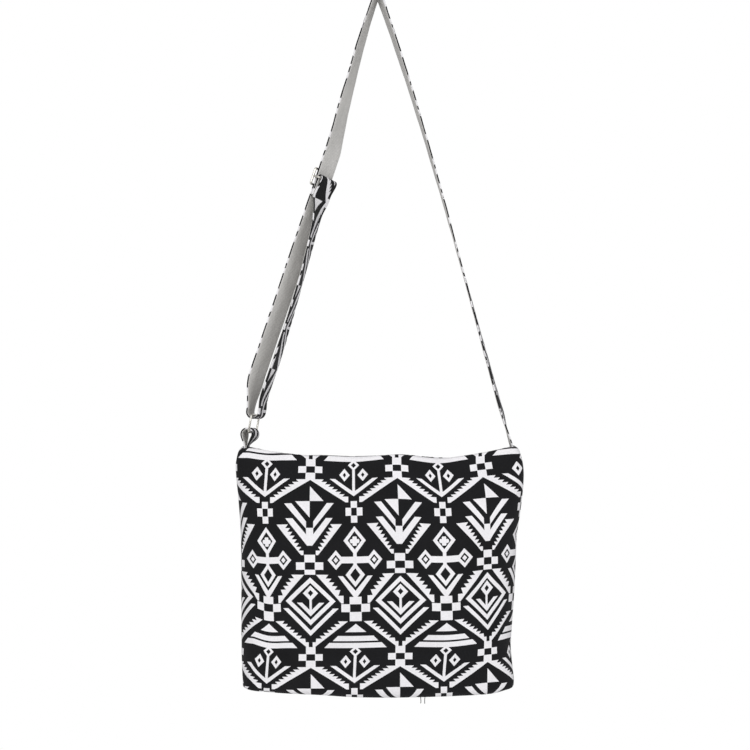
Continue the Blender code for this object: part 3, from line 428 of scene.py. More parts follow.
def divided(points, spacing):
    """A polygon with extra points on its sides. spacing gives how far apart they may be at a place."""
    made = []
    for (x0, y0), (x1, y1) in zip(points, points[1:] + points[:1]):
        finest = min(spacing(x0 + (x1 - x0) * n / 8, y0 + (y1 - y0) * n / 8) for n in range(9))
        steps = max(1, math.ceil(math.hypot(x1 - x0, y1 - y0) / finest))
        made += [(x0 + (x1 - x0) * n / steps, y0 + (y1 - y0) * n / steps) for n in range(steps)]
    return made


def cut_cloth(name, outline, net, figure, place, finishes, spacing=None):
    """Flat cloth, cut along its figure and laid in place. finishes are the ground's and the figure's."""
    flat, faces = [], []
    for points in [outline] + [divided(points, spacing) for _, points in figure]:
        ring = points if area_of(points) > 0 else points[::-1]
        faces.append(list(range(len(flat), len(flat) + len(ring))))
        flat += ring
    flat += net
    spots, _, triangles, _, _, covers = delaunay_2d_cdt([Vector(p) for p in flat], [], faces, 1, 1e-4)
    kept, yarns = [], []
    for triangle, cover in zip(triangles, covers):
        if 0 in cover:
            top = max(cover)
            kept.append(triangle)
            yarns.append(figure[top - 1][0] if top else BLACK)
    used = sorted({index for triangle in kept for index in triangle})
    order = {index: number for number, index in enumerate(used)}
    laid = [place(*spots[index]) for index in used]
    mesh_data = bpy.data.meshes.new(name)
    mesh_data.from_pydata([spot * MM for spot, _ in laid], [], [[order[i] for i in t] for t in kept])
    for finish in finishes:
        mesh_data.materials.append(finish)
    mesh_data.polygons.foreach_set("material_index", yarns)
    flat_map = mesh_data.uv_layers.new(name="cloth")
    for loop in mesh_data.loops:
        spot = spots[used[loop.vertex_index]]
        flat_map.data[loop.index].uv = (spot[0] * MM, spot[1] * MM)
    mesh_data.shade_smooth()
    normals = [normal for _, normal in laid]
    first = mesh_data.polygons[len(mesh_data.polygons) // 2]
    if first.normal.dot(normals[first.vertices[0]]) < 0:
        mesh_data.flip_normals()
    mesh_data.normals_split_custom_set_from_vertices(normals)
    print(name, "triangles:", len(kept))
    return add_object(name, mesh_data)


# %% [markdown]
# ## The bag's shape
# The bag is a soft shell. Its front and back bulge a little, its bottom corners pull up, and the top
# edge hangs in two shallow curves. Below are the outline of its two sides and the lines of its top and
# bottom edges, read off the picture. Its depth and its corners seen from above don't show there,
# so they are guesses.

# %% Outline
TAPE_TOP = 226.8
FOOT = 9.5                # rounding between wall and bottom
HEM_ROUND = 3.0
HALF_WIDEST = 142.6
BULGE, BULGE_FULL, BULGE_END, BULGE_FADE = 5.0, 74.0, 226.0, 98.0
BULGE_DEPTH = 30.0        # how deep the bag is where it bulges in full
LEFT_SIDE = ((0.0, 131.5), (4.0, 134.0), (9.0, 135.6), (42.0, 137.4), (106.0, 137.4), (159.0, 138.4),
             (195.0, 140.7), (224.0, 142.6), (236.0, 141.4), (246.0, 138.4))
RIGHT_SIDE = ((0.0, 126.0), (5.0, 131.6), (14.0, 133.6), (28.0, 132.4), (47.0, 130.9), (66.0, 131.9),
              (104.0, 134.3), (142.0, 136.2), (156.0, 136.9), (171.0, 139.1), (193.0, 142.0), (214.0, 143.6),
              (228.0, 142.6), (243.0, 138.6), (247.0, 136.0))
DEPTH = ((0.0, 31.0), (49.0, 31.0), (123.0, 30.0), (235.5, 20.0), (246.0, 20.0))
CORNER = ((0.0, 17.0), (60.0, 24.0), (123.0, 24.0), (190.0, 17.0), (235.5, 6.0), (246.0, 6.0))
TOP_EDGE = ((-142.0, 244.0), (-132.0, 244.6), (-119.0, 243.6), (-105.0, 241.4), (-88.0, 239.2),
            (-70.0, 237.6), (-50.0, 237.5), (-25.0, 236.4), (-4.0, 237.0), (20.0, 238.3), (43.0, 236.0),
            (62.0, 234.7), (81.0, 236.8), (107.0, 241.2), (119.0, 243.6), (132.0, 246.0), (142.0, 245.4))
BOTTOM_LIFT = ((-138.0, 5.0), (-115.0, 4.2), (-97.0, 2.6), (-60.0, 0.8), (-20.0, -1.6), (40.0, -1.4),
               (105.0, 1.4), (125.0, 4.6), (138.0, 5.4))


def bulge(z):
    """How far the middle of the front stands out past its sides."""
    return BULGE * ease(z / BULGE_FULL) * ease((BULGE_END - z) / BULGE_FADE)


def plan_place(zone, share, side, z, end_inset, front_inset):
    """A point of the bag's plan at a level, on its right (side 1) or left (side -1) half.

    zone is 0 along the front, 1 round the corner and 2 along the end.
    """
    wide = between(RIGHT_SIDE if side > 0 else LEFT_SIDE, z)
    deep = between(DEPTH, z)
    radius = between(CORNER, z)
    flat = wide - radius
    wide, deep = wide - end_inset, max(deep - front_inset, 0.0)
    radius = min(max(radius - front_inset, 3.0), deep)
    if zone == 0:
        x, y = share * flat * min((wide - radius) / flat, 1.0), deep
    elif zone == 1:
        angle = share * math.pi / 2
        x = wide - radius + radius * math.sin(angle)
        y = deep - radius + radius * math.cos(angle)
    else:
        x, y = wide, (deep - radius) * (1.0 - share)
    out = bulge(z) * max(1.0 - (x / HALF_WIDEST) ** 2, 0.0) * y / BULGE_DEPTH
    return side * x, y + out


def plan_zone(along, side, z):
    """Which zone of the plan lies at a distance along the cloth from the bag's middle."""
    wide = between(RIGHT_SIDE if side > 0 else LEFT_SIDE, z)
    radius = between(CORNER, z)
    flat, curve, end = wide - radius, radius * math.pi / 2, between(DEPTH, z) - radius
    if along < flat:
        return 0, along / flat, flat + curve + end
    if along < flat + curve:
        return 1, (along - flat) / curve, flat + curve + end
    return 2, min((along - flat - curve) / max(end, 0.1), 1.0), flat + curve + end


# %% [markdown]
# Cloth never hangs quite square. Below is how far the figure has drifted sideways and upwards at six
# levels of the front. It was read off enlargements of the picture, at each axis of the figure
# and, near the sides, between them. The cloth is drawn up at both sides, and inwards on the right.

# %% Drift of the cloth
DRIFT_ACROSS = (-128.0, -109.6, -91.0, -66.6, -23.7, 19.3, 62.2, 90.0, 105.1, 118.0, 136.0)
DRIFT_SIDEWAYS = (
    (21.9, (-0.3, -1.5, -2.0, -0.9, -1.0, 1.0, 1.2, 2.2, 1.0, -1.1, -3.0)),
    (56.3, (4.4, 1.1, -0.7, -0.9, 0.4, 1.3, 3.6, 3.9, 1.5, -1.7, -6.0)),
    (91.7, (4.1, 0.4, -1.5, -0.9, 0.3, 1.5, 3.6, 2.9, 0.1, -1.5, -3.0)),
    (133.0, (3.0, -0.3, -3.2, -1.8, -0.3, 0.9, 2.1, 3.6, 1.5, -1.2, -3.5)),
    (194.0, (-3.5, -3.5, -4.3, -2.2, -1.7, -0.9, -0.4, 0.1, -0.4, -0.9, -0.4)),
    (228.5, (-2.3, -1.6, -2.4, -1.3, -2.0, -2.2, -4.4, -4.5, -5.4, -6.2, -6.5)),
)
DRIFT_UPWARDS = (
    (21.9, (2.8, -0.2, -0.4, -0.5, 0.3, 1.3, 1.7, 4.0, 5.6, 6.6, 7.6)),
    (56.3, (3.6, -0.4, -0.3, -0.1, 0.0, 1.2, 0.6, 3.8, 5.5, 6.7, 8.0)),
    (91.7, (4.4, 0.5, 0.8, 1.0, 0.6, 2.7, 1.4, 4.0, 5.6, 7.2, 9.0)),
    (133.0, (1.0, -0.5, 0.1, 0.2, 0.4, 2.0, 0.9, 3.7, 5.2, 5.7, 6.4)),
    (194.0, (0.2, -0.6, -0.2, 0.2, 0.2, 2.4, -0.6, 1.8, 3.2, 4.0, 4.8)),
    (228.5, (2.4, 0.0, 0.1, 0.2, -1.5, 1.8, -2.8, 0.8, 3.0, 4.6, 6.4)),
)


def drift(table, across, up):
    """A smooth value between the places where the drift was read."""
    levels = [(level, between(list(zip(DRIFT_ACROSS, row)), across)) for level, row in table]
    return between(levels, up)


HALF_CLOTH = 160.0        # flat cloth from the middle of the front to a side seam
SQUARE_UP_TO = 119.0      # beyond this, the cloth is stretched to reach the seam
MOUTH_HALF = 141.0        # the line of the top edge is read no further out than this
HEM_BEND = 2.5            # mm of cloth for each radian of the hem's turn
HEM_END, HEM_FRONT = 1.5, 2.0       # how far the hem's turn draws in, at the ends and in front
HEM_GAP = 0.3             # from the zip's tape up to the hem's inner edge
UNDER_END, UNDER_DEPTH = 6.0, 21.5  # under the bag, how far its ends draw in, over which depth
SEAM_PINCH, SEAM_WIDTH = 1.5, 1.7
FOOT_PINCH, FOOT_WIDTH = 1.2, 1.6
HALF_GAP = 0.15           # between the front and back cloth at a seam


def cloth_drift(across, up, back):
    """How far the cloth has drifted sideways and upwards. The back is taken to hang nearly square."""
    if back:
        return 0.0, 2.0 * ease(abs(across) / 150.0)
    return drift(DRIFT_SIDEWAYS, across, up), drift(DRIFT_UPWARDS, across, up)


def top_edge(x, back):
    """The line of the top edge. The back's sags a little more than the front's, behind which it hides."""
    if back:
        return between(TOP_EDGE, 0.9 * x) - 1.3 + 2.1 * ease((abs(x) - 95.0) / 35.0)
    return between(TOP_EDGE, x)


def bag_place(across, up, back=False):
    """Where a spot of the flat cloth lies on the bag. back is for the rear panel."""
    aside, lift = cloth_drift(across, up, back)
    side = 1 if across + aside >= 0 else -1
    level = up + lift
    edge_x = side * min(abs(across + aside), MOUTH_HALF)
    tangent = top_edge(edge_x, back) - HEM_ROUND
    lifted = between(BOTTOM_LIFT, edge_x)
    end_inset = front_inset = 0.0
    turn = (level - tangent) / HEM_BEND
    if turn > math.pi:
        z = max(tangent - (level - tangent - math.pi * HEM_BEND), TAPE_TOP + HEM_GAP)
        end_inset, front_inset = 2 * HEM_END, 2 * HEM_FRONT
    elif turn > 0.0:
        z = tangent + HEM_ROUND * math.sin(turn)
        end_inset, front_inset = HEM_END * (1 - math.cos(turn)), HEM_FRONT * (1 - math.cos(turn))
    elif level > FOOT:
        z = level
    else:
        bend = (FOOT - level) / FOOT
        if bend < math.pi / 2:
            z = FOOT - (FOOT - lifted) * math.sin(bend)
            end_inset = front_inset = FOOT * (1 - math.cos(bend))
        else:
            z = lifted
            past = (bend - math.pi / 2) * FOOT
            front_inset = FOOT + past
            end_inset = FOOT + UNDER_END * min(past / UNDER_DEPTH, 1.0)
    wall = min(max(z, FOOT), DEPTH[-1][0])
    along = abs(across + aside)
    _, _, whole = plan_zone(0.0, side, wall)
    if abs(across) > SQUARE_UP_TO:
        start = SQUARE_UP_TO + side * aside
        along = start + (whole - start) * (abs(across) - SQUARE_UP_TO) / (HALF_CLOTH - SQUARE_UP_TO)
    zone, share, _ = plan_zone(max(along, 0.0), side, wall)
    x, y = plan_place(zone, share, side, z if z > FOOT else wall, end_inset, front_inset)
    seam = math.exp(-((HALF_CLOTH - abs(across)) / SEAM_WIDTH) ** 2) * SEAM_PINCH
    foot_seam = math.exp(-(max(y, 0.0) / FOOT_WIDTH) ** 2) * FOOT_PINCH if z <= lifted + 0.01 else 0.0
    return Vector((x - side * seam, (1 if back else -1) * (y + HALF_GAP), z + foot_seam))


# %% [markdown]
# ## Soft unevenness
# A used cotton bag isn't perfectly smooth: it has a few broad, shallow dents and, near its corners, short
# folds that point to where the strap pulls. They are chosen, about a millimetre each, and matter most for
# how light runs over the black ground.

# %% Dents and folds
FOLDS = (
    # across, up, length, width, direction in degrees, height
    (-118.0, 212.0, 34.0, 7.0, -62.0, 1.1),
    (-100.0, 222.0, 30.0, 6.0, -48.0, -0.8),
    (118.0, 206.0, 40.0, 8.0, 64.0, 1.3),
    (98.0, 214.0, 34.0, 7.0, 50.0, -1.0),
    (-60.0, 150.0, 60.0, 26.0, 70.0, 1.0),
    (40.0, 120.0, 70.0, 30.0, 100.0, -1.2),
    (-20.0, 60.0, 60.0, 24.0, 20.0, 0.9),
    (84.0, 60.0, 46.0, 16.0, 60.0, 1.4),
    (104.0, 96.0, 60.0, 10.0, 82.0, -1.4),
    (-118.0, 30.0, 26.0, 7.0, 55.0, 1.0),
    (112.0, 24.0, 28.0, 8.0, -50.0, 1.2),
    (62.0, 232.0, 16.0, 14.0, 90.0, 1.0),
    (-36.0, 232.0, 16.0, 16.0, 90.0, 0.8),
)


def unevenness(across, up):
    total = 0.0
    for x, y, length, width, direction, height in FOLDS:
        angle = math.radians(direction)
        dx, dy = across - x, up - y
        along = dx * math.cos(angle) + dy * math.sin(angle)
        aside = -dx * math.sin(angle) + dy * math.cos(angle)
        total += height * math.exp(-(along / length) ** 2 - (aside / width) ** 2)
    total += 0.35 * math.sin(across / 17.0 + 1.3) * math.sin(up / 23.0 + 0.4)
    fade = ease((HALF_CLOTH - abs(across)) / 12.0) * ease((up + 6.0) / 14.0) * ease((236.0 - up) / 8.0)
    return total * fade


def bag_surface(back):
    """A function from flat cloth to a place on one panel and the direction out of it there."""
    step = 0.4

    def place(across, up):
        here = bag_place(across, up, back)
        ahead = 1.0 if across < HALF_CLOTH - 1.0 else -1.0
        above = 1.0 if up < 250.0 else -1.0
        along = (bag_place(across + ahead * step, up, back) - here) * ahead
        rise = (bag_place(across, up + above * step, back) - here) * above
        out = along.cross(rise)
        if back:
            out = -out
        out = out.normalized() if out.length > 1e-6 else Vector((0.0, 1.0 if back else -1.0, 0.0))
        return here, out

    def uneven(across, up):
        here, out = place(across, up)
        height = unevenness(across, up)
        tilt_x = (unevenness(across + step, up) - unevenness(across - step, up)) / (2 * step)
        tilt_z = (unevenness(across, up + step) - unevenness(across, up - step)) / (2 * step)
        tilted = out - Vector((tilt_x, 0.0, tilt_z))
        return here + out * height, tilted.normalized()

    return uneven


# %% [markdown]
# Each panel is one piece of cloth, from the seam under the bag up the wall, over the fold of the hem and
# down inside to the zip. Its flat outline is found by walking along those edges.

# %% Front and back panels
SEAM_STEPS = (0.0, 0.7, 1.5, 2.6, 4.2, 6.5)      # the net's columns next to a side seam


def flat_edges(across, back):
    """The flat cloth's levels at a place: its bottom seam, the start of the hem's turn, its inner end."""
    _, lift_low = cloth_drift(across, DRIFT_UPWARDS[0][0], back)
    aside, lift_high = cloth_drift(across, DRIFT_UPWARDS[-1][0], back)
    edge_x = math.copysign(min(abs(across + aside), MOUTH_HALF), across)
    tangent = top_edge(edge_x, back) - HEM_ROUND
    bottom = FOOT - FOOT * math.pi / 2 - (DEPTH[0][1] - FOOT) - lift_low
    top = tangent + HEM_BEND * math.pi + (tangent - TAPE_TOP - HEM_GAP) - lift_high
    return bottom, tangent - lift_high, top


def cloth_net(back):
    """A panel's flat outline, and points inside it that lie close together where the cloth bends."""
    columns = [HALF_CLOTH - step for step in SEAM_STEPS]
    while columns[-1] > 5.0:
        columns.append(columns[-1] - (3.0 if columns[-1] > 110.0 else 5.0))
    columns = sorted([-column for column in columns if column > 0.5] + [0.0] + columns)
    outline_low, outline_high, net = [], [], []
    for across in columns:
        bottom, tangent, top = flat_edges(across, back)
        outline_low.append((across, bottom))
        outline_high.append((across, top))
        rows = [bottom + 0.8, bottom + 1.8, bottom + 3.2] + [bottom + 3.2 + 4.5 * n for n in range(1, 5)]
        rows += [FOOT - FOOT * math.pi / 2 * n / 8 for n in range(9)]
        wall = int((tangent - FOOT) / 5.0)
        rows += [FOOT + (tangent - FOOT) * n / wall for n in range(1, wall + 1)]
        rows += [tangent + HEM_BEND * math.pi * n / 10 for n in range(1, 11)]
        rows += [top - 2.0] if top - tangent > 12.0 else []
        if columns[0] < across < columns[-1]:
            net += [(across, row) for row in rows if bottom + 0.3 < row < top - 0.3]
    return outline_low + outline_high[::-1], net


ORIGINS = ((-109.55, 76.0), (-109.55 + 30.0, 76.0 + 60.0))
for panel, back, origin in (("front_panel", False, ORIGINS[0]), ("back_panel", True, ORIGINS[1])):
    outline, net = cloth_net(back)
    figure = figure_on((-HALF_CLOTH, -45.0), (HALF_CLOTH, 270.0), origin)

    def panel_spacing(across, up):
        tight = (up < FOOT or up > flat_edges(across, back)[1] - 1.0
                 or abs(across) > HALF_CLOTH - SEAM_STEPS[-1])
        return 0.9 if tight else 2.5

    piece = cut_cloth(panel.replace("panel", "cloth"), outline, net, figure, bag_surface(back),
                      (black_yarn, white_yarn), panel_spacing)
    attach(piece, "bag")
    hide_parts(panel)

# %% [markdown]
# ## The strap's route
# The strap is a long flat band, so its shape is a line through space with a direction across it at each
# place. The line is the measured model's: up from the right corner, over the fold that it hangs by, down
# on the left with a growing twist, and half round the ring. The figured cloth faces out and the grey
# canvas faces in. A short second layer goes back up from the ring to the tri-glide.

# %% Strap sizes
STRAP_HALF = 14.0
STRAP_THICK = 2.0
PLY_GAP = 0.3
RUN_TILT, RING_TILT, RING_TURN, RIGHT_TILT = (math.radians(angle) for angle in (18.7, 10.0, 11.0, 19.5))
RUN_UP = Vector((math.sin(RUN_TILT), 0.0, math.cos(RUN_TILT)))
RUN_IN = Vector((math.cos(RUN_TILT), 0.0, -math.sin(RUN_TILT)))
RING_UP = Vector((math.sin(RING_TILT), 0.0, math.cos(RING_TILT)))
RING_ACROSS = Vector((math.cos(RING_TILT), 0.0, -math.sin(RING_TILT)))
RING_WIDE = math.cos(RING_TURN) * Y_AXIS + math.sin(RING_TURN) * RING_ACROSS
RING_IN = math.cos(RING_TURN) * RING_ACROSS - math.sin(RING_TURN) * Y_AXIS
RING_BAR = Vector((-127.0, 0.0, 259.7))
RING_HEIGHT = 17.6
RING_WIRE = 1.0
LOOP_MIDDLE = RING_BAR + RING_UP * (RING_HEIGHT + 2.9)
LOOP_PATH = 4.8 + STRAP_THICK / 2
LOOP_FOOT = LOOP_MIDDLE - RING_IN * LOOP_PATH
LOOP_END = 1.5
FOOT_STRAIGHT, FOOT_BEND = 22.0, 20.0
FOOT_LENGTH = FOOT_STRAIGHT + FOOT_BEND
LEAN_CORNER = math.radians(-10.0)
FOLD_LEVEL = 690.5

# Shares of the left run's length, with how far it lies off its straight line there, and its twist.
# Both were tuned towards places read off the picture.
LEFT_OFFSETS = ((0.59, 0.0), (0.65, 1.8), (0.70, 3.7), (0.74, 4.9), (0.81, 6.6), (0.87, 8.1), (0.94, 9.0),
                (1.0, 8.9))
LEFT_TWIST = ((0.59, 31.5), (0.65, 25.0), (0.70, 21.3), (0.74, 18.8), (0.81, 14.8), (0.87, 12.5), (1.0, 7.0))
LEAN = math.radians(LEFT_TWIST[0][1])
LEAN_APEX = math.radians(LEFT_TWIST[-1][1])


def foot_point(up):
    """A point of the left run's foot, at a distance along it from the turn round the ring."""
    straight = min(up, FOOT_STRAIGHT)
    bend = (RUN_TILT - RING_TILT) / FOOT_BEND
    angle = RING_TILT + bend * (up - straight)
    x = straight * math.sin(RING_TILT) + (math.cos(RING_TILT) - math.cos(angle)) / bend
    z = straight * math.cos(RING_TILT) + (math.sin(angle) - math.sin(RING_TILT)) / bend
    return Vector((LOOP_FOOT.x + x, LOOP_FOOT.y * ease(1.0 - up / FOOT_LENGTH), LOOP_FOOT.z + z))


RUN_FOOT = foot_point(FOOT_LENGTH)
RUN_LENGTH = (FOLD_LEVEL - RUN_FOOT.z) / RUN_UP.z


def run_point(up):
    """A point of the left run above its foot, at a distance along it."""
    return RUN_FOOT + RUN_UP * up - RUN_IN * between(LEFT_OFFSETS, up / RUN_LENGTH)


RUN_TOP = run_point(RUN_LENGTH)
TOP_UP = (RUN_TOP - run_point(RUN_LENGTH * 0.99)).normalized()
TOP_TILT = math.atan2(TOP_UP.x, TOP_UP.z)
APEX_PATH = 1.5 + STRAP_THICK / 2
APEX = RUN_TOP + Vector((math.cos(TOP_TILT), 0.0, -math.sin(TOP_TILT))) * APEX_PATH


def turned(along, lean):
    """The direction across a band that runs along a direction. A lean turns its far edge inwards."""
    inward = along.cross(Y_AXIS).normalized()
    return math.cos(lean) * Y_AXIS + math.sin(lean) * inward


def with_leans(points, leans):
    """Pairs of a point and the direction across the band there."""
    made = []
    for index, point in enumerate(points):
        along = points[min(index + 1, len(points) - 1)] - points[max(index - 1, 0)]
        made.append((point, turned(along.normalized(), leans[index])))
    return made


# %% Running strap, tab and short layer
MOUTH_TOP, HELD = 246.0, 17.0       # the mouth's corners, and how far the strap is sewn in below them
HELD_LEVELS = [MOUTH_TOP - HELD + HELD * n / 8 for n in range(9)]
RIGHT_STEPS, FOLD_STEPS, LEFT_STEPS, FOOT_STEPS, LOOP_STEPS = 120, 16, 130, 30, 16
RIGHT_LENGTH, RIGHT_BOW = 444.5, 4.2
CORNER_TURN, FOOT_TURN = 40.0, 34.0     # over this much strap it turns into its lean
TAB_ROUND = 4.4
TAB_FROM, TAB_SWEEP, TAB_STEPS = -20.0, 215.0, 24
S_STEPS = 8


def corner_x(table):
    """Middle of the strap's two plies in a corner of the mouth, inside the doubled hem."""
    return between(table, MOUTH_TOP) - 2 * HEM_END - 0.7 - STRAP_THICK / 2


def running_route():
    points = [Vector((corner_x(RIGHT_SIDE), 0.0, level)) for level in HELD_LEVELS]
    leans = [0.0] * len(points)
    start = points[-1]
    finish = APEX + Vector((math.cos(RIGHT_TILT), 0.0, math.sin(RIGHT_TILT))) * APEX_PATH
    for number in range(1, RIGHT_STEPS + 1):
        share = number / RIGHT_STEPS
        bow = RIGHT_BOW * 6.75 * share * share * (1 - share)      # 6.75 makes the bow's peak 1
        points.append(start.lerp(finish, share) + Vector((bow, 0.0, 0.0)))
        grown = LEAN_CORNER + (LEAN_APEX - LEAN_CORNER) * share
        leans.append(grown * ease(share * RIGHT_LENGTH / CORNER_TURN))
    for number in range(1, FOLD_STEPS + 1):
        angle = RIGHT_TILT + (math.pi - TOP_TILT - RIGHT_TILT) * number / FOLD_STEPS
        points.append(APEX + APEX_PATH * Vector((math.cos(angle), 0.0, math.sin(angle))))
        leans.append(LEAN_APEX)
    for number in range(1, LEFT_STEPS + 1):
        share = 1.0 - number / LEFT_STEPS
        points.append(run_point(RUN_LENGTH * share))
        leans.append(math.radians(between(LEFT_TWIST, share)))
    for number in range(1, FOOT_STEPS):
        up = FOOT_LENGTH * (1.0 - number / FOOT_STEPS)
        points.append(foot_point(up))
        leans.append(RING_TURN + (LEAN - RING_TURN) * ease(up / FOOT_TURN))
    made = with_leans(points, leans)
    for number in range(LOOP_STEPS + 1):
        angle = math.pi * number / LOOP_STEPS
        around = math.cos(angle) * RING_IN + math.sin(angle) * RING_UP
        made.append((LOOP_MIDDLE - LOOP_PATH * around, RING_WIDE))
    made.append((made[-1][0] + RING_UP * LOOP_END, RING_WIDE))
    return made


def tab_route():
    """From the right ply's foot up, round the ring's lower side and down the left ply."""
    ply = (STRAP_THICK + PLY_GAP) / 2
    pull = (RING_UP + RING_IN).normalized()
    middle = RING_BAR - pull * (TAB_ROUND - RING_WIRE - PLY_GAP)
    path = TAB_ROUND + STRAP_THICK / 2
    inner = corner_x(LEFT_SIDE) - ply
    right = [Vector((-inner + ply, 0.0, level)) for level in HELD_LEVELS]
    left = [Vector((-inner - ply, 0.0, level)) for level in HELD_LEVELS[::-1]]
    arc = []
    for number in range(TAB_STEPS + 1):
        angle = math.radians(TAB_FROM + TAB_SWEEP * number / TAB_STEPS)
        arc.append(middle + path * (math.cos(angle) * RING_IN + math.sin(angle) * RING_UP))

    def eased(first, last):
        """A soft S between the corner of the mouth and the turn round the ring."""
        made = []
        for step in range(1, S_STEPS):
            share = step / S_STEPS
            spot = first.lerp(last, share)
            spot.x = first.x + (last.x - first.x) * (0.65 * share + 0.35 * ease(share))
            made.append(spot)
        return made

    points = right + eased(right[-1], arc[0]) + arc + eased(arc[-1], left[0]) + left
    turns = [0.0] * len(right) + [ease(n / S_STEPS) for n in range(1, S_STEPS)] + [1.0] * len(arc)
    turns += [ease(1 - n / S_STEPS) for n in range(1, S_STEPS)] + [0.0] * len(left)
    return [(point, Y_AXIS.lerp(RING_WIDE, turn).normalized()) for point, turn in zip(points, turns)]


GLIDE_POINT = RUN_FOOT + RUN_UP * 200.5
GLIDE_WIDE = math.cos(LEAN) * Y_AXIS + math.sin(LEAN) * RUN_IN
GLIDE_IN = math.cos(LEAN) * RUN_IN - math.sin(LEAN) * Y_AXIS
GLIDE_WIRE, GLIDE_BAR, GLIDE_GAP = 1.2, 1.1, 0.35
BAR_IN = STRAP_THICK / 2 + GLIDE_GAP + STRAP_THICK + PLY_GAP + GLIDE_BAR
END_BAR_IN = -(STRAP_THICK / 2 + GLIDE_GAP + GLIDE_WIRE)
BAR_LOOP = GLIDE_BAR + PLY_GAP + STRAP_THICK / 2
TAIL = 20.0
SHORT_LEANS = [RING_TURN] + [math.radians(angle) for angle in (12.0, 10.0, 6.0, 9.0, 16.0)] + [LEAN] * 4
SHORT_STEPS = 14


def at_glide(along, inward, wide=0.0):
    """A point by its place along the strap, inwards of it and across it, from the tri-glide."""
    return GLIDE_POINT + RUN_UP * along + GLIDE_IN * inward + GLIDE_WIDE * wide


def smooth_line(points):
    """Points on a smooth curve through the given ones."""
    made = []
    for index in range(len(points) - 1):
        p1, p2 = points[index], points[index + 1]
        p0 = points[index - 1] if index else p1 + (p1 - p2)
        p3 = points[index + 2] if index + 2 < len(points) else p2 + (p2 - p1)
        for step in range(SHORT_STEPS):
            t = step / SHORT_STEPS
            made.append(0.5 * (2 * p1 + (p2 - p0) * t + (2 * p0 - 5 * p1 + 4 * p2 - p3) * t ** 2
                               + (3 * p1 - p0 - 3 * p2 + p3) * t ** 3))
    made.append(points[-1].copy())
    return made


def short_route():
    """Up from the ring beside the long layer, over the tri-glide's middle bar, with a sewn tail."""
    ply_in = BAR_IN - BAR_LOOP + STRAP_THICK + PLY_GAP
    foot = LOOP_MIDDLE + RING_IN * LOOP_PATH + RING_UP * LOOP_END
    low = [foot + RING_UP * 1.8, foot + RING_UP * 18.0,
           RUN_FOOT + RUN_IN * 13.0 + RUN_UP * (70.0 - FOOT_LENGTH),
           RUN_FOOT + RUN_IN * 10.8 + RUN_UP * (135.0 - FOOT_LENGTH),
           at_glide(-55.0, ply_in + 4.2), at_glide(-34.0, ply_in + 1.4), at_glide(-TAIL, ply_in),
           at_glide(-0.6 * TAIL, ply_in + 0.2), at_glide(-3.5, BAR_IN + BAR_LOOP - 0.4),
           at_glide(0.0, BAR_IN + BAR_LOOP)]
    points = smooth_line(low)
    made = [(foot, RING_WIDE)]
    for index, point in enumerate(points):
        along = (points[min(index + 1, len(points) - 1)] - points[max(index - 1, 0)]).normalized()
        lean = between(list(enumerate(SHORT_LEANS)), index / SHORT_STEPS)
        wide = RING_WIDE.lerp(math.cos(lean) * Y_AXIS + math.sin(lean) * RUN_IN, ease(index / SHORT_STEPS))
        made.append((point, (wide - along * wide.dot(along)).normalized()))
    for number in range(1, 17):
        angle = math.pi * number / 16
        made.append((at_glide(BAR_LOOP * math.sin(angle), BAR_IN + BAR_LOOP * math.cos(angle)), GLIDE_WIDE))
    for number in range(1, 9):
        made.append((at_glide(-TAIL * number / 8, BAR_IN - BAR_LOOP), GLIDE_WIDE))
    return made


# %% [markdown]
# A route becomes a band by a table of distances. Asked for a distance along and across the band and a
# depth, it gives a point in space. The figured cloth and the canvas both use this one table.

# %% Band tables
class Band:
    """A flat band along a route of points and directions across."""

    def __init__(self, route):
        self.route = route
        self.places = [0.0]
        for (here, _), (there, _) in zip(route, route[1:]):
            self.places.append(self.places[-1] + (there - here).length)
        self.length = self.places[-1]
        self.alongs = []
        for index in range(len(route)):
            step = route[min(index + 1, len(route) - 1)][0] - route[max(index - 1, 0)][0]
            self.alongs.append(step.normalized())

    def at(self, along, across, depth):
        index = min(max(bisect_right(self.places, along) - 1, 0), len(self.route) - 2)
        share = (along - self.places[index]) / (self.places[index + 1] - self.places[index])
        (here, wide0), (there, wide1) = self.route[index], self.route[index + 1]
        wide = wide0.lerp(wide1, share).normalized()
        forward = self.alongs[index].lerp(self.alongs[index + 1], share).normalized()
        inward = forward.cross(wide).normalized()
        return here.lerp(there, share) + wide * across + inward * depth


EDGE_ROUND = 0.65
TURNED_IN = 2.0


def face_section(across):
    """The figured cloth: flat outside, rolled round the edge and turned in under the canvas."""
    flat = STRAP_HALF - EDGE_ROUND
    side, past = math.copysign(1.0, across), abs(across) - flat
    if past <= 0.0:
        return across, -STRAP_THICK / 2
    angle = past / EDGE_ROUND
    if angle < math.pi:
        return (side * (flat + EDGE_ROUND * math.sin(angle)),
                -STRAP_THICK / 2 + EDGE_ROUND * (1 - math.cos(angle)))
    return side * (flat - (past - EDGE_ROUND * math.pi)), -STRAP_THICK / 2 + 2 * EDGE_ROUND


CANVAS_HALF = 13.1
CANVAS_ROUND = 0.33
CANVAS_FLAT = CANVAS_HALF - CANVAS_ROUND
PUFF, PUFF_PLACE, PUFF_WIDTH = 0.12, 6.0, 3.5


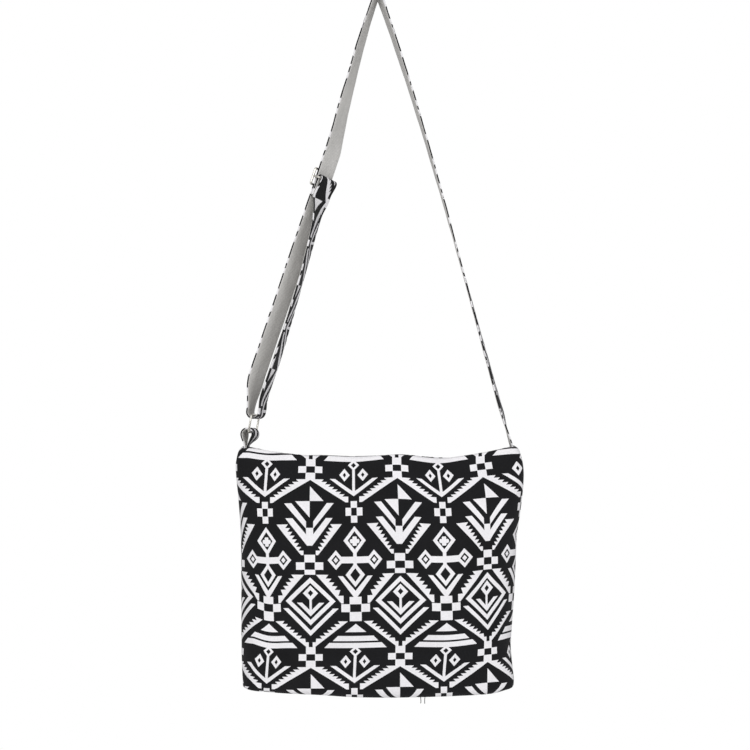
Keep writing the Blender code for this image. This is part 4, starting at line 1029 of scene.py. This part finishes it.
def canvas_section(across):
    """The canvas: flat inside, its two edges rolled down on to the figured cloth."""
    side, past = math.copysign(1.0, across), abs(across) - CANVAS_FLAT
    if past <= 0.0:
        puff = PUFF * math.exp(-((abs(across) - PUFF_PLACE) / PUFF_WIDTH) ** 2)
        return across, STRAP_THICK / 2 - PUFF + puff
    angle = min(past / CANVAS_ROUND, math.pi / 2)
    return (side * (CANVAS_FLAT + CANVAS_ROUND * math.sin(angle)),
            STRAP_THICK / 2 - PUFF - CANVAS_ROUND * (1 - math.cos(angle))
            - max(past - CANVAS_ROUND * math.pi / 2, 0.0))


def band_surface(band, section, outwards):
    """A function from flat cloth (across, along) to a place on the band and the direction out of it."""
    step = 0.15

    def spot(across, along):
        aside, depth = section(across)
        ripple = 0.16 * math.sin(along / 9.0 + 0.4 * across) + 0.12 * math.sin(along / 3.7 - across / 5.0)
        return band.at(along, aside + 0.18 * math.sin(along / 21.0), depth + 0.5 * ripple)

    def place(across, along):
        here = spot(across, along)
        ahead = 1.0 if along < band.length - step else -1.0
        forward = (spot(across, along + ahead * step) - here) * ahead
        aside = spot(across + step, along) - spot(across - step, along)
        out = aside.cross(forward) * outwards
        return here, out.normalized()

    return place


def band_spacing(across, along):
    """How far apart points may lie on the figure's edges: less where the cloth rolls round the edge."""
    return 0.5 if abs(across) > STRAP_HALF - 1.4 else 1.6


def band_cloth(name, band, section, half, columns, figure, finishes, outwards):
    """A band of cloth with a net that follows its route's bends."""
    stations = [0.0]
    for place in band.places[1:-1]:
        if place - stations[-1] > 0.8:
            stations.append(place)
    stations.append(band.length)
    columns = sorted({-half, half} | set(columns))
    outline = [(column, 0.0) for column in columns]
    outline += [(half, place) for place in stations[1:-1]]
    outline += [(column, band.length) for column in reversed(columns)]
    outline += [(-half, place) for place in reversed(stations[1:-1])]
    net = [(column, place) for place in stations[1:-1] for column in columns[1:-1]]
    surface = band_surface(band, section, outwards)
    return cut_cloth(name, outline, net, figure, surface, finishes, band_spacing)


FACE_HALF = STRAP_HALF - EDGE_ROUND + EDGE_ROUND * math.pi + TURNED_IN
FACE_COLUMNS = [side * (STRAP_HALF - EDGE_ROUND + EDGE_ROUND * math.pi * n / 6)
                for side in (-1, 1) for n in range(7)] + [-9.0, -4.5, 0.0, 4.5, 9.0]
CANVAS_EDGE = CANVAS_FLAT + CANVAS_ROUND * math.pi / 2
CANVAS_COLUMNS = [side * (CANVAS_FLAT + CANVAS_ROUND * math.pi / 2 * n / 3)
                  for side in (-1, 1) for n in range(4)] + [-9.0, -6.0, -3.0, 0.0, 3.0, 6.0, 9.0]

running, tab, short = Band(running_route()), Band(tab_route()), Band(short_route())
print("strap layers, mm:", round(running.length), round(short.length), "tab", round(tab.length))

# %% [markdown]
# The figure lies on its side on the strap: the drawing's x runs along it. It wanders across the strap over
# its whole length, as if the strip hadn't been cut square to the threads, and it slips a little along it,
# where the strap is bent. The figure's start and the places of both below follow comparisons, by two small
# programs, of the drawn figure's brightness with the picture's along the strap. They were rounded and
# adjusted. The tab's figure was placed without such a comparison.

# %% Strap cloth and canvas
FOLD_PLACE = running.places[len(HELD_LEVELS) + RIGHT_STEPS + FOLD_STEPS // 2]
STRAP_ORIGIN = (560.3 + UNIT * REPEAT_X / 2, 66.8)
SHORT_ORIGIN = (STRAP_ORIGIN[0] - running.length, STRAP_ORIGIN[1])
TAB_ORIGIN = (12.0, 58.0)
WANDER = ((0.0, 3.3), (420.0, 3.3), (560.0, -1.1), (640.0, -3.6), (running.length, -8.4),
          (running.length + 219.0, -11.8))
SLIPPED = ((FOLD_PLACE - 12.0, -9.8), (FOLD_PLACE + 58.0, 0.0), (646.0, 0.0), (855.0, -5.2), (941.0, -5.6),
           (1160.0, -1.2))


def strap_slip(place):
    return between(WANDER, place), between(SLIPPED, place)


def short_slip(place):
    return strap_slip(running.length + place)


for name, band, node, origin, slip in (
        ("strap", running, "strap_face", STRAP_ORIGIN, strap_slip),
        ("short", short, "strap_return_face", SHORT_ORIGIN, short_slip),
        ("tab", tab, "ring_tab", TAB_ORIGIN, None)):
    figure = figure_on((-FACE_HALF, 0.0), (FACE_HALF, band.length), origin, True, slip)
    cloth = band_cloth(name + "_cloth", band, face_section, FACE_HALF, FACE_COLUMNS, figure,
                       (black_yarn, white_yarn), 1)
    canvas = band_cloth(name + "_canvas", band, canvas_section, CANVAS_EDGE + 0.3, CANVAS_COLUMNS, [],
                        (grey_canvas,), -1)
    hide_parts(node)
    if name != "tab":
        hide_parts(node.replace("face", "backing"))
    for piece in (cloth, canvas):
        if name == "short":
            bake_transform(piece)
        else:
            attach(piece, "bag")

# %% [markdown]
# ## Wire parts
# The ring is one piece of steel wire, bent to a rounded rectangle. The tri-glide is a second, longer
# rectangle, with a third bar welded across its middle that stands up like a low bridge, so that the strap
# lies straight in it. A round wire is a circle swept along a line.

# %% Ring and tri-glide


def wire(shape, points, flat, radius, closed, sides=20):
    """Sweeps a circle along points. flat is the normal of the plane that they lie nearly in."""
    rings, count = [], len(points)
    for index, point in enumerate(points):
        ahead = points[(index + 1) % count] if closed else points[min(index + 1, count - 1)]
        behind = points[index - 1] if closed else points[max(index - 1, 0)]
        across = (ahead - behind).normalized().cross(flat).normalized()
        up = across.cross(ahead - behind).normalized()
        rings.append([shape.verts.new((point + radius * (math.cos(a) * across + math.sin(a) * up)) * MM)
                      for a in (2 * math.pi * side / sides for side in range(sides))])
    for index in range(count if closed else count - 1):
        here, there = rings[index], rings[(index + 1) % count]
        for side in range(sides):
            beside = (side + 1) % sides
            shape.faces.new((here[side], here[beside], there[beside], there[side]))
    if not closed:
        shape.faces.new(rings[0][::-1])
        shape.faces.new(rings[-1])


SHARP_FROM = 40.0


def finished(name, shape, finish, body, nodes=()):
    """Turns a bmesh into a piece that rides on a body."""
    bmesh.ops.recalc_face_normals(shape, faces=shape.faces)
    mesh_data = bpy.data.meshes.new(name)
    shape.to_mesh(mesh_data)
    shape.free()
    mesh_data.materials.append(finish)
    mesh_data.shade_smooth()
    mesh_data.set_sharp_from_angle(angle=math.radians(SHARP_FROM))
    piece = add_object(name, mesh_data)
    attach(piece, body)
    if nodes:
        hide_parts(*nodes)
    print(name, "faces:", len(mesh_data.polygons))


def rounded_rectangle(half_x, half_y, radius):
    """Corner points of a rounded rectangle, anticlockwise."""
    made = []
    for quarter, (x, y) in enumerate(((1, 1), (-1, 1), (-1, -1), (1, -1))):
        for step in range(9):
            angle = math.pi / 2 * (quarter + step / 8)
            made.append((x * (half_x - radius) + radius * math.cos(angle),
                         y * (half_y - radius) + radius * math.sin(angle)))
    return made


SIDE_GAP = 0.6            # between the strap's edge and a wire
RING_CORNER = 2.0
ring_shape = bmesh.new()
ring_line = [RING_BAR + RING_WIDE * y + RING_UP * (up + RING_HEIGHT / 2)
             for y, up in rounded_rectangle(STRAP_HALF + SIDE_GAP + RING_WIRE, RING_HEIGHT / 2, RING_CORNER)]
wire(ring_shape, ring_line, RING_IN, RING_WIRE, True)
finished("wire_ring", ring_shape, nickel, "ring", ["ring"])

GLIDE_HALF_LENGTH = 8.0
RAIL_OUT = STRAP_HALF + SIDE_GAP + GLIDE_WIRE
GLIDE_CORNER = 1.4
glide_shape = bmesh.new()
frame_line = [at_glide(along, END_BAR_IN, wide)
              for along, wide in rounded_rectangle(GLIDE_HALF_LENGTH, RAIL_OUT, GLIDE_CORNER)]
wire(glide_shape, frame_line, GLIDE_IN, GLIDE_WIRE, True)
bridge = [(-RAIL_OUT, END_BAR_IN)]
for side in (-1, 1):
    arc = [(side * (RAIL_OUT - GLIDE_CORNER * (1 - math.cos(angle))),
            BAR_IN - GLIDE_CORNER * (1 - math.sin(angle)))
           for angle in (math.pi / 2 * n / 8 for n in range(9))]
    bridge += arc if side < 0 else arc[::-1]
bridge.append((RAIL_OUT, END_BAR_IN))
wire(glide_shape, [at_glide(0.0, inward, wide) for wide, inward in bridge], RUN_UP, GLIDE_BAR, False)
finished("wire_tri_glide", glide_shape, nickel, "tri_glide", ["tri_glide"])

# %% [markdown]
# ## The zip
# A zip has two woven tapes with a row of teeth on each, and a slider that runs over both rows. Here it
# lies just under the top edge. The teeth are moulded on the tapes, one each 1.6 mm, staggered by half a
# step from one row to the other. Only one tooth is modelled, then it is repeated along the row. The
# picture shows nothing of the zip or the lining: both are drawn as such bags usually have them.

# %% Tapes and lining
TAPE_MIDDLE = 226.5
TAPE_THICK = 0.5
NECK = 0.6                # from the middle of the zip to the tape's edge
WALL_GAP = 1.6            # from the tape's outer edge to the wall


def tape_place(x, y):
    """The tape waves up and down a little, away from the teeth."""
    wave = 0.25 * math.cos(x / 11.0) * ease((abs(y) - 3.5) / 6.0)
    return Vector((x, y, TAPE_MIDDLE + 0.25 - wave)), Vector((0.0, 0.0, 1.0))


for end, side in (("front", -1), ("back", 1)):
    columns = [-136.0 + 4.0 * n for n in range(69)]
    edge = []
    for x in columns:
        widest = between(RIGHT_SIDE if x > 0 else LEFT_SIDE, TAPE_MIDDLE)
        radius = between(CORNER, TAPE_MIDDLE)
        deep = between(DEPTH, TAPE_MIDDLE) - WALL_GAP
        past = min(max(abs(x) - (widest - WALL_GAP - radius), 0.0) / radius, 1.0)
        edge.append((x, side * max(deep - radius * (1 - math.sqrt(max(1 - past ** 2, 0.0))), 4.0)))
    outline = [(x, side * NECK) for x in columns] + edge[::-1]
    net = [(x, y * share) for x, y in edge[1:-1] for share in (0.25, 0.5, 0.75)]
    tape = cut_cloth("tape_" + end, outline, net, [], tape_place, (tape_braid,))
    shape = bmesh.new()
    shape.from_mesh(tape.data)
    bmesh.ops.solidify(shape, geom=shape.faces, thickness=TAPE_THICK * MM)
    shape.to_mesh(tape.data)
    shape.free()
    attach(tape, "bag")
    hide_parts("zip_tape_" + end)


LINING_FLOOR, LINING_WALL, LINING_TOP = 9.0, 225.0, 225.6


def lining_place(side):
    """The lining hangs loosely inside the wall. Its flat place is an angle round the half and a level."""
    def place(across, up):
        def spot(a, z):
            half = 1 if a >= 0 else -1
            wall = min(max(z, FOOT), LINING_WALL)
            _, _, whole = plan_zone(0.0, half, wall)
            zone, share, _ = plan_zone(min(abs(a), 1.0) * whole, half, wall)
            drop = ease((FOOT - z) / FOOT) * FOOT
            x, y = plan_place(zone, share, half, max(z, LINING_FLOOR), 2.0 + drop, 2.0 + drop)
            loose = 0.5 * math.sin(a * 19.0 + z / 31.0) * math.sin(z / 17.0) - 0.5
            return Vector((x, side * max(y + loose, 0.05), max(z, LINING_FLOOR)))
        here = spot(across, up)
        out = (spot(across + 0.004, up) - here).cross(spot(across, up + 0.5) - here)
        return here, (out * -side).normalized() if out.length > 1e-9 else Vector((0.0, side, 0.0))
    return place


for end, side in (("front", -1), ("back", 1)):
    outline = rectangle(-1.0, 1.0, 0.5, LINING_TOP)
    net = [(-0.975 + 0.05 * column, 3.0 + row * 6.0) for column in range(40) for row in range(38)]
    lining_half = cut_cloth("lining_" + end, outline, net, [], lining_place(side), (lining_cloth,))
    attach(lining_half, "bag")
    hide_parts("lining")

# %% Teeth
TEETH_UNDER, TEETH_TOP = 227.1, 228.5
ZIP_END = 110.0
TEETH_PITCH = 1.6


def plate(shape, outline, low, high, bevel, turn=lambda x, y, z: (x, y, z), holes=()):
    """A flat plate between two levels with rounded edges, in a bmesh. turn places its points."""
    flat, faces = [], []
    for ring in (outline, *holes):
        faces.append(list(range(len(flat), len(flat) + len(ring))))
        flat += [Vector(p) for p in ring]
    spots, _, cut, _, _, covers = delaunay_2d_cdt(flat, [], faces, 1, 1e-5)
    part = bmesh.new()
    corners = [part.verts.new((x * MM, y * MM, low * MM)) for x, y in spots]
    for face, cover in zip(cut, covers):
        if cover == [0]:
            part.faces.new([corners[i] for i in face])
    loose = [corner for corner in part.verts if not corner.link_faces]
    bmesh.ops.delete(part, geom=loose, context="VERTS")
    base = list(part.faces)
    raised = bmesh.ops.extrude_face_region(part, geom=base)["geom"]
    moved = [item for item in raised if isinstance(item, bmesh.types.BMVert)]
    bmesh.ops.translate(part, verts=moved, vec=(0.0, 0.0, (high - low) * MM))
    bmesh.ops.recalc_face_normals(part, faces=part.faces)
    sharp = [edge for edge in part.edges if len(edge.link_faces) == 2 and edge.calc_face_angle(0.0) > 1.2
             and abs(edge.verts[0].co.z - edge.verts[1].co.z) < 1e-7]
    bmesh.ops.bevel(part, geom=sharp, offset=bevel * MM, segments=2, profile=0.6, affect="EDGES")
    order = {}
    for corner in part.verts:
        x, y, z = (value / MM for value in corner.co)
        order[corner] = shape.verts.new([value * MM for value in turn(x, y, z)])
    for face in part.faces:
        shape.faces.new([order[corner] for corner in face.verts])
    part.free()


TOOTH = both_sides([(-0.42, 3.0), (-0.42, 1.5), (-0.52, 1.1), (-0.42, 0.72), (-0.2, 0.6)])
tooth_shape = bmesh.new()
plate(tooth_shape, TOOTH, TEETH_UNDER, TEETH_TOP, 0.18)
tooth_mesh = bpy.data.meshes.new("one_tooth")
tooth_shape.to_mesh(tooth_mesh)
tooth_shape.free()
for end, side in (("front", -1), ("back", 1)):
    row = bmesh.new()
    count = int(2 * ZIP_END / TEETH_PITCH)
    for number in range(count):
        x = -ZIP_END + TEETH_PITCH * (number + (0.5 if side < 0 else 1.0))
        if x > ZIP_END - 0.6:
            break
        before = len(row.verts)
        row.from_mesh(tooth_mesh)
        row.verts.ensure_lookup_table()
        for corner in row.verts[before:]:
            corner.co.x += x * MM
            corner.co.y *= side
    finished("teeth_" + end, row, nylon, "bag", ["zip_teeth_" + end])
bpy.data.meshes.remove(tooth_mesh)

# %% [markdown]
# The slider is die-cast: two plates with a wedge between them, and an arched bail on top that holds the
# pull. The pull is stamped from sheet, with an eye that the bail stands in. The stops are little clamps.

# %% Slider, pull and stops
SLIDER_MIDDLE = 104.1
PLATE_UNDER, PLATE_TOP = 228.8, 229.8
LOWER_UNDER, LOWER_TOP, WEDGE_UNDER = 224.9, 225.9, 225.8
PULL_UNDER, PULL_TOP = 230.3, 231.5
PULL_END, PULL_ROUND = -18.4, 3.55
HOLE_PLACE, HOLE_ROUND = -18.2, 1.3
STOP_NEAR, STOP_FAR, STOP_HALF = 110.3, 112.3, 3.0


def on_slider(points):
    return [(SLIDER_MIDDLE + x, y) for x, y in points]


slider_shape = bmesh.new()
top_outline = [(-5.5, -2.6), (-4.9, -3.3), (0.0, -3.9), (3.6, -4.3), (5.2, -3.8), (5.5, -2.6), (4.6, 0.0),
               (5.5, 2.6), (5.2, 3.8), (3.6, 4.3), (0.0, 3.9), (-4.9, 3.3), (-5.5, 2.6)]
for low, high in ((PLATE_UNDER, PLATE_TOP), (LOWER_UNDER, LOWER_TOP)):
    plate(slider_shape, on_slider(top_outline), low, high, 0.3)
plate(slider_shape, on_slider(rectangle(-4.0, 3.5, -0.3, 0.3)), WEDGE_UNDER, PLATE_UNDER + 0.1, 0.1)
bail = both_sides([(-3.2, -0.3), (-3.2, 2.0), (-2.6, 2.75), (-1.4, 3.05)])
bail += both_sides([(2.2, -0.3), (2.2, 1.75), (1.9, 2.1), (1.2, 2.25)])
plate(slider_shape, bail, -1.2, 1.2, 0.3, lambda x, y, z: (SLIDER_MIDDLE + x, z, PLATE_TOP + y))
finished("cast_slider", slider_shape, nickel, "zip_slider", ["zip_slider"])

pull_shape = bmesh.new()
pull_outline = [(0.55, -2.6), (0.55, 2.6), (-0.2, 3.0), (-7.0, 2.9), (-9.0, 2.6), (-16.0, 3.4)]
pull_outline += [(PULL_END - PULL_ROUND * math.sin(angle), PULL_ROUND * math.cos(angle))
                 for angle in (math.pi * n / 12 for n in range(13))]
pull_outline += [(-16.0, -3.4), (-9.0, -2.6), (-7.0, -2.9), (-0.2, -3.0)]
eye = [(-0.6, -1.6), (-0.6, 1.6), (-5.6, 1.6), (-5.6, -1.6)]
small_hole = [(HOLE_PLACE + HOLE_ROUND * math.cos(angle), HOLE_ROUND * math.sin(angle))
              for angle in (2 * math.pi * n / 16 for n in range(16))]
plate(pull_shape, on_slider(pull_outline), PULL_UNDER, PULL_TOP, 0.25,
      holes=[on_slider(eye), on_slider(small_hole)])
finished("stamped_pull", pull_shape, nickel, "zip_pull", ["zip_pull"])

for name, x0, x1, y0, y1 in (("top_stop_front", STOP_NEAR, STOP_FAR, -STOP_HALF, -NECK),
                             ("top_stop_back", STOP_NEAR, STOP_FAR, NECK, STOP_HALF),
                             ("bottom_stop", -STOP_FAR, -STOP_NEAR, -STOP_HALF, STOP_HALF)):
    stop_shape = bmesh.new()
    plate(stop_shape, rectangle(x0, x1, y0, y1), TEETH_UNDER, TEETH_TOP, 0.35)
    finished(name, stop_shape, nickel, "bag", ["zip_" + name])

# %% [markdown]
# ## Loose threads
# Two short ends of black sewing thread hang out of the bottom seam, as in the picture.

# %% Thread ends
THREAD_ROUND = 0.36
THREADS = ((40.2, 8.4, 0.8), (45.4, 8.6, -0.7))     # place across, length, drift sideways

for number, (x, length, drift_x) in enumerate(THREADS):
    thread_shape = bmesh.new()
    line = [Vector((x + drift_x * math.sin(t * 2.2), -20.0 - 1.2 * math.sin(t * 3.0), 0.6 - length * t))
            for t in (step / 10 for step in range(11))]
    wire(thread_shape, line, Y_AXIS, THREAD_ROUND, False, 8)
    finished(f"thread_end_{number + 1}", thread_shape, sewing_thread, "bag")

# %% [markdown]
# ## Light and floor
# Plain, soft light from all round, with one large lamp in front of the bag and above it, and a weaker
# one from the right, as in a small product studio. The floor and the world behind are white to the
# camera. Only glossy reflections see the room: white walls, and a darker side in front of the bag,
# so that round wire looks round.

# %% Studio
world = bpy.data.worlds.new("studio")
bpy.context.scene.world = world
world.use_nodes = True
backdrop = world.node_tree.nodes["Background"]
rays = add_node(world.node_tree, "ShaderNodeLightPath")
ray_end = add_node(world.node_tree, "ShaderNodeTexCoord").outputs["Generated"]
room_axes = add_node(world.node_tree, "ShaderNodeSeparateXYZ", {"Vector": ray_end})
room = add_node(world.node_tree, "ShaderNodeMapRange", {
    "Value": room_axes.outputs["Y"], "From Min": -0.95, "From Max": 0.15, "To Min": 0.1, "To Max": 0.95})
plain = add_node(world.node_tree, "ShaderNodeMapRange", {
    "Value": rays.outputs["Is Camera Ray"], "To Min": 0.55, "To Max": 1.0})
level = add_node(world.node_tree, "ShaderNodeMix", {
    "Factor": rays.outputs["Is Glossy Ray"], "A": plain.outputs[0], "B": room.outputs[0]})
fill(backdrop, {"Strength": level.outputs["Result"], "Color": linear("#ffffff")})


def soft_lamp(name, place, target, size, power):
    lamp_data = bpy.data.lights.new(name, "AREA")
    lamp_data.size = size
    lamp_data.energy = power
    lamp = add_object(name, lamp_data)
    lamp.location = place
    lamp.rotation_euler = (Vector(target) - Vector(place)).to_track_quat("-Z", "Y").to_euler()


soft_lamp("front_lamp", (-0.3, -2.0, 0.9), (0.0, 0.0, 0.3), 1.4, 27.0)
soft_lamp("side_lamp", (1.4, -1.2, 0.6), (0.0, 0.0, 0.25), 1.0, 4.0)

floor_paint, _, floor_shader = new_finish("pale_floor_paint")
fill(floor_shader, {"Base Color": linear("#fbfbfb"), "Roughness": 0.9})
floor_data = bpy.data.meshes.new("floor")
floor_data.from_pydata([(-5, -5, -1.0), (5, -5, -1.0), (5, 3, -1.0), (-5, 3, -1.0)], [], [(0, 1, 2, 3)])
floor_data.materials.append(floor_paint)
floor = add_object("floor", floor_data)
bpy.context.scene.view_settings.view_transform = "Standard"
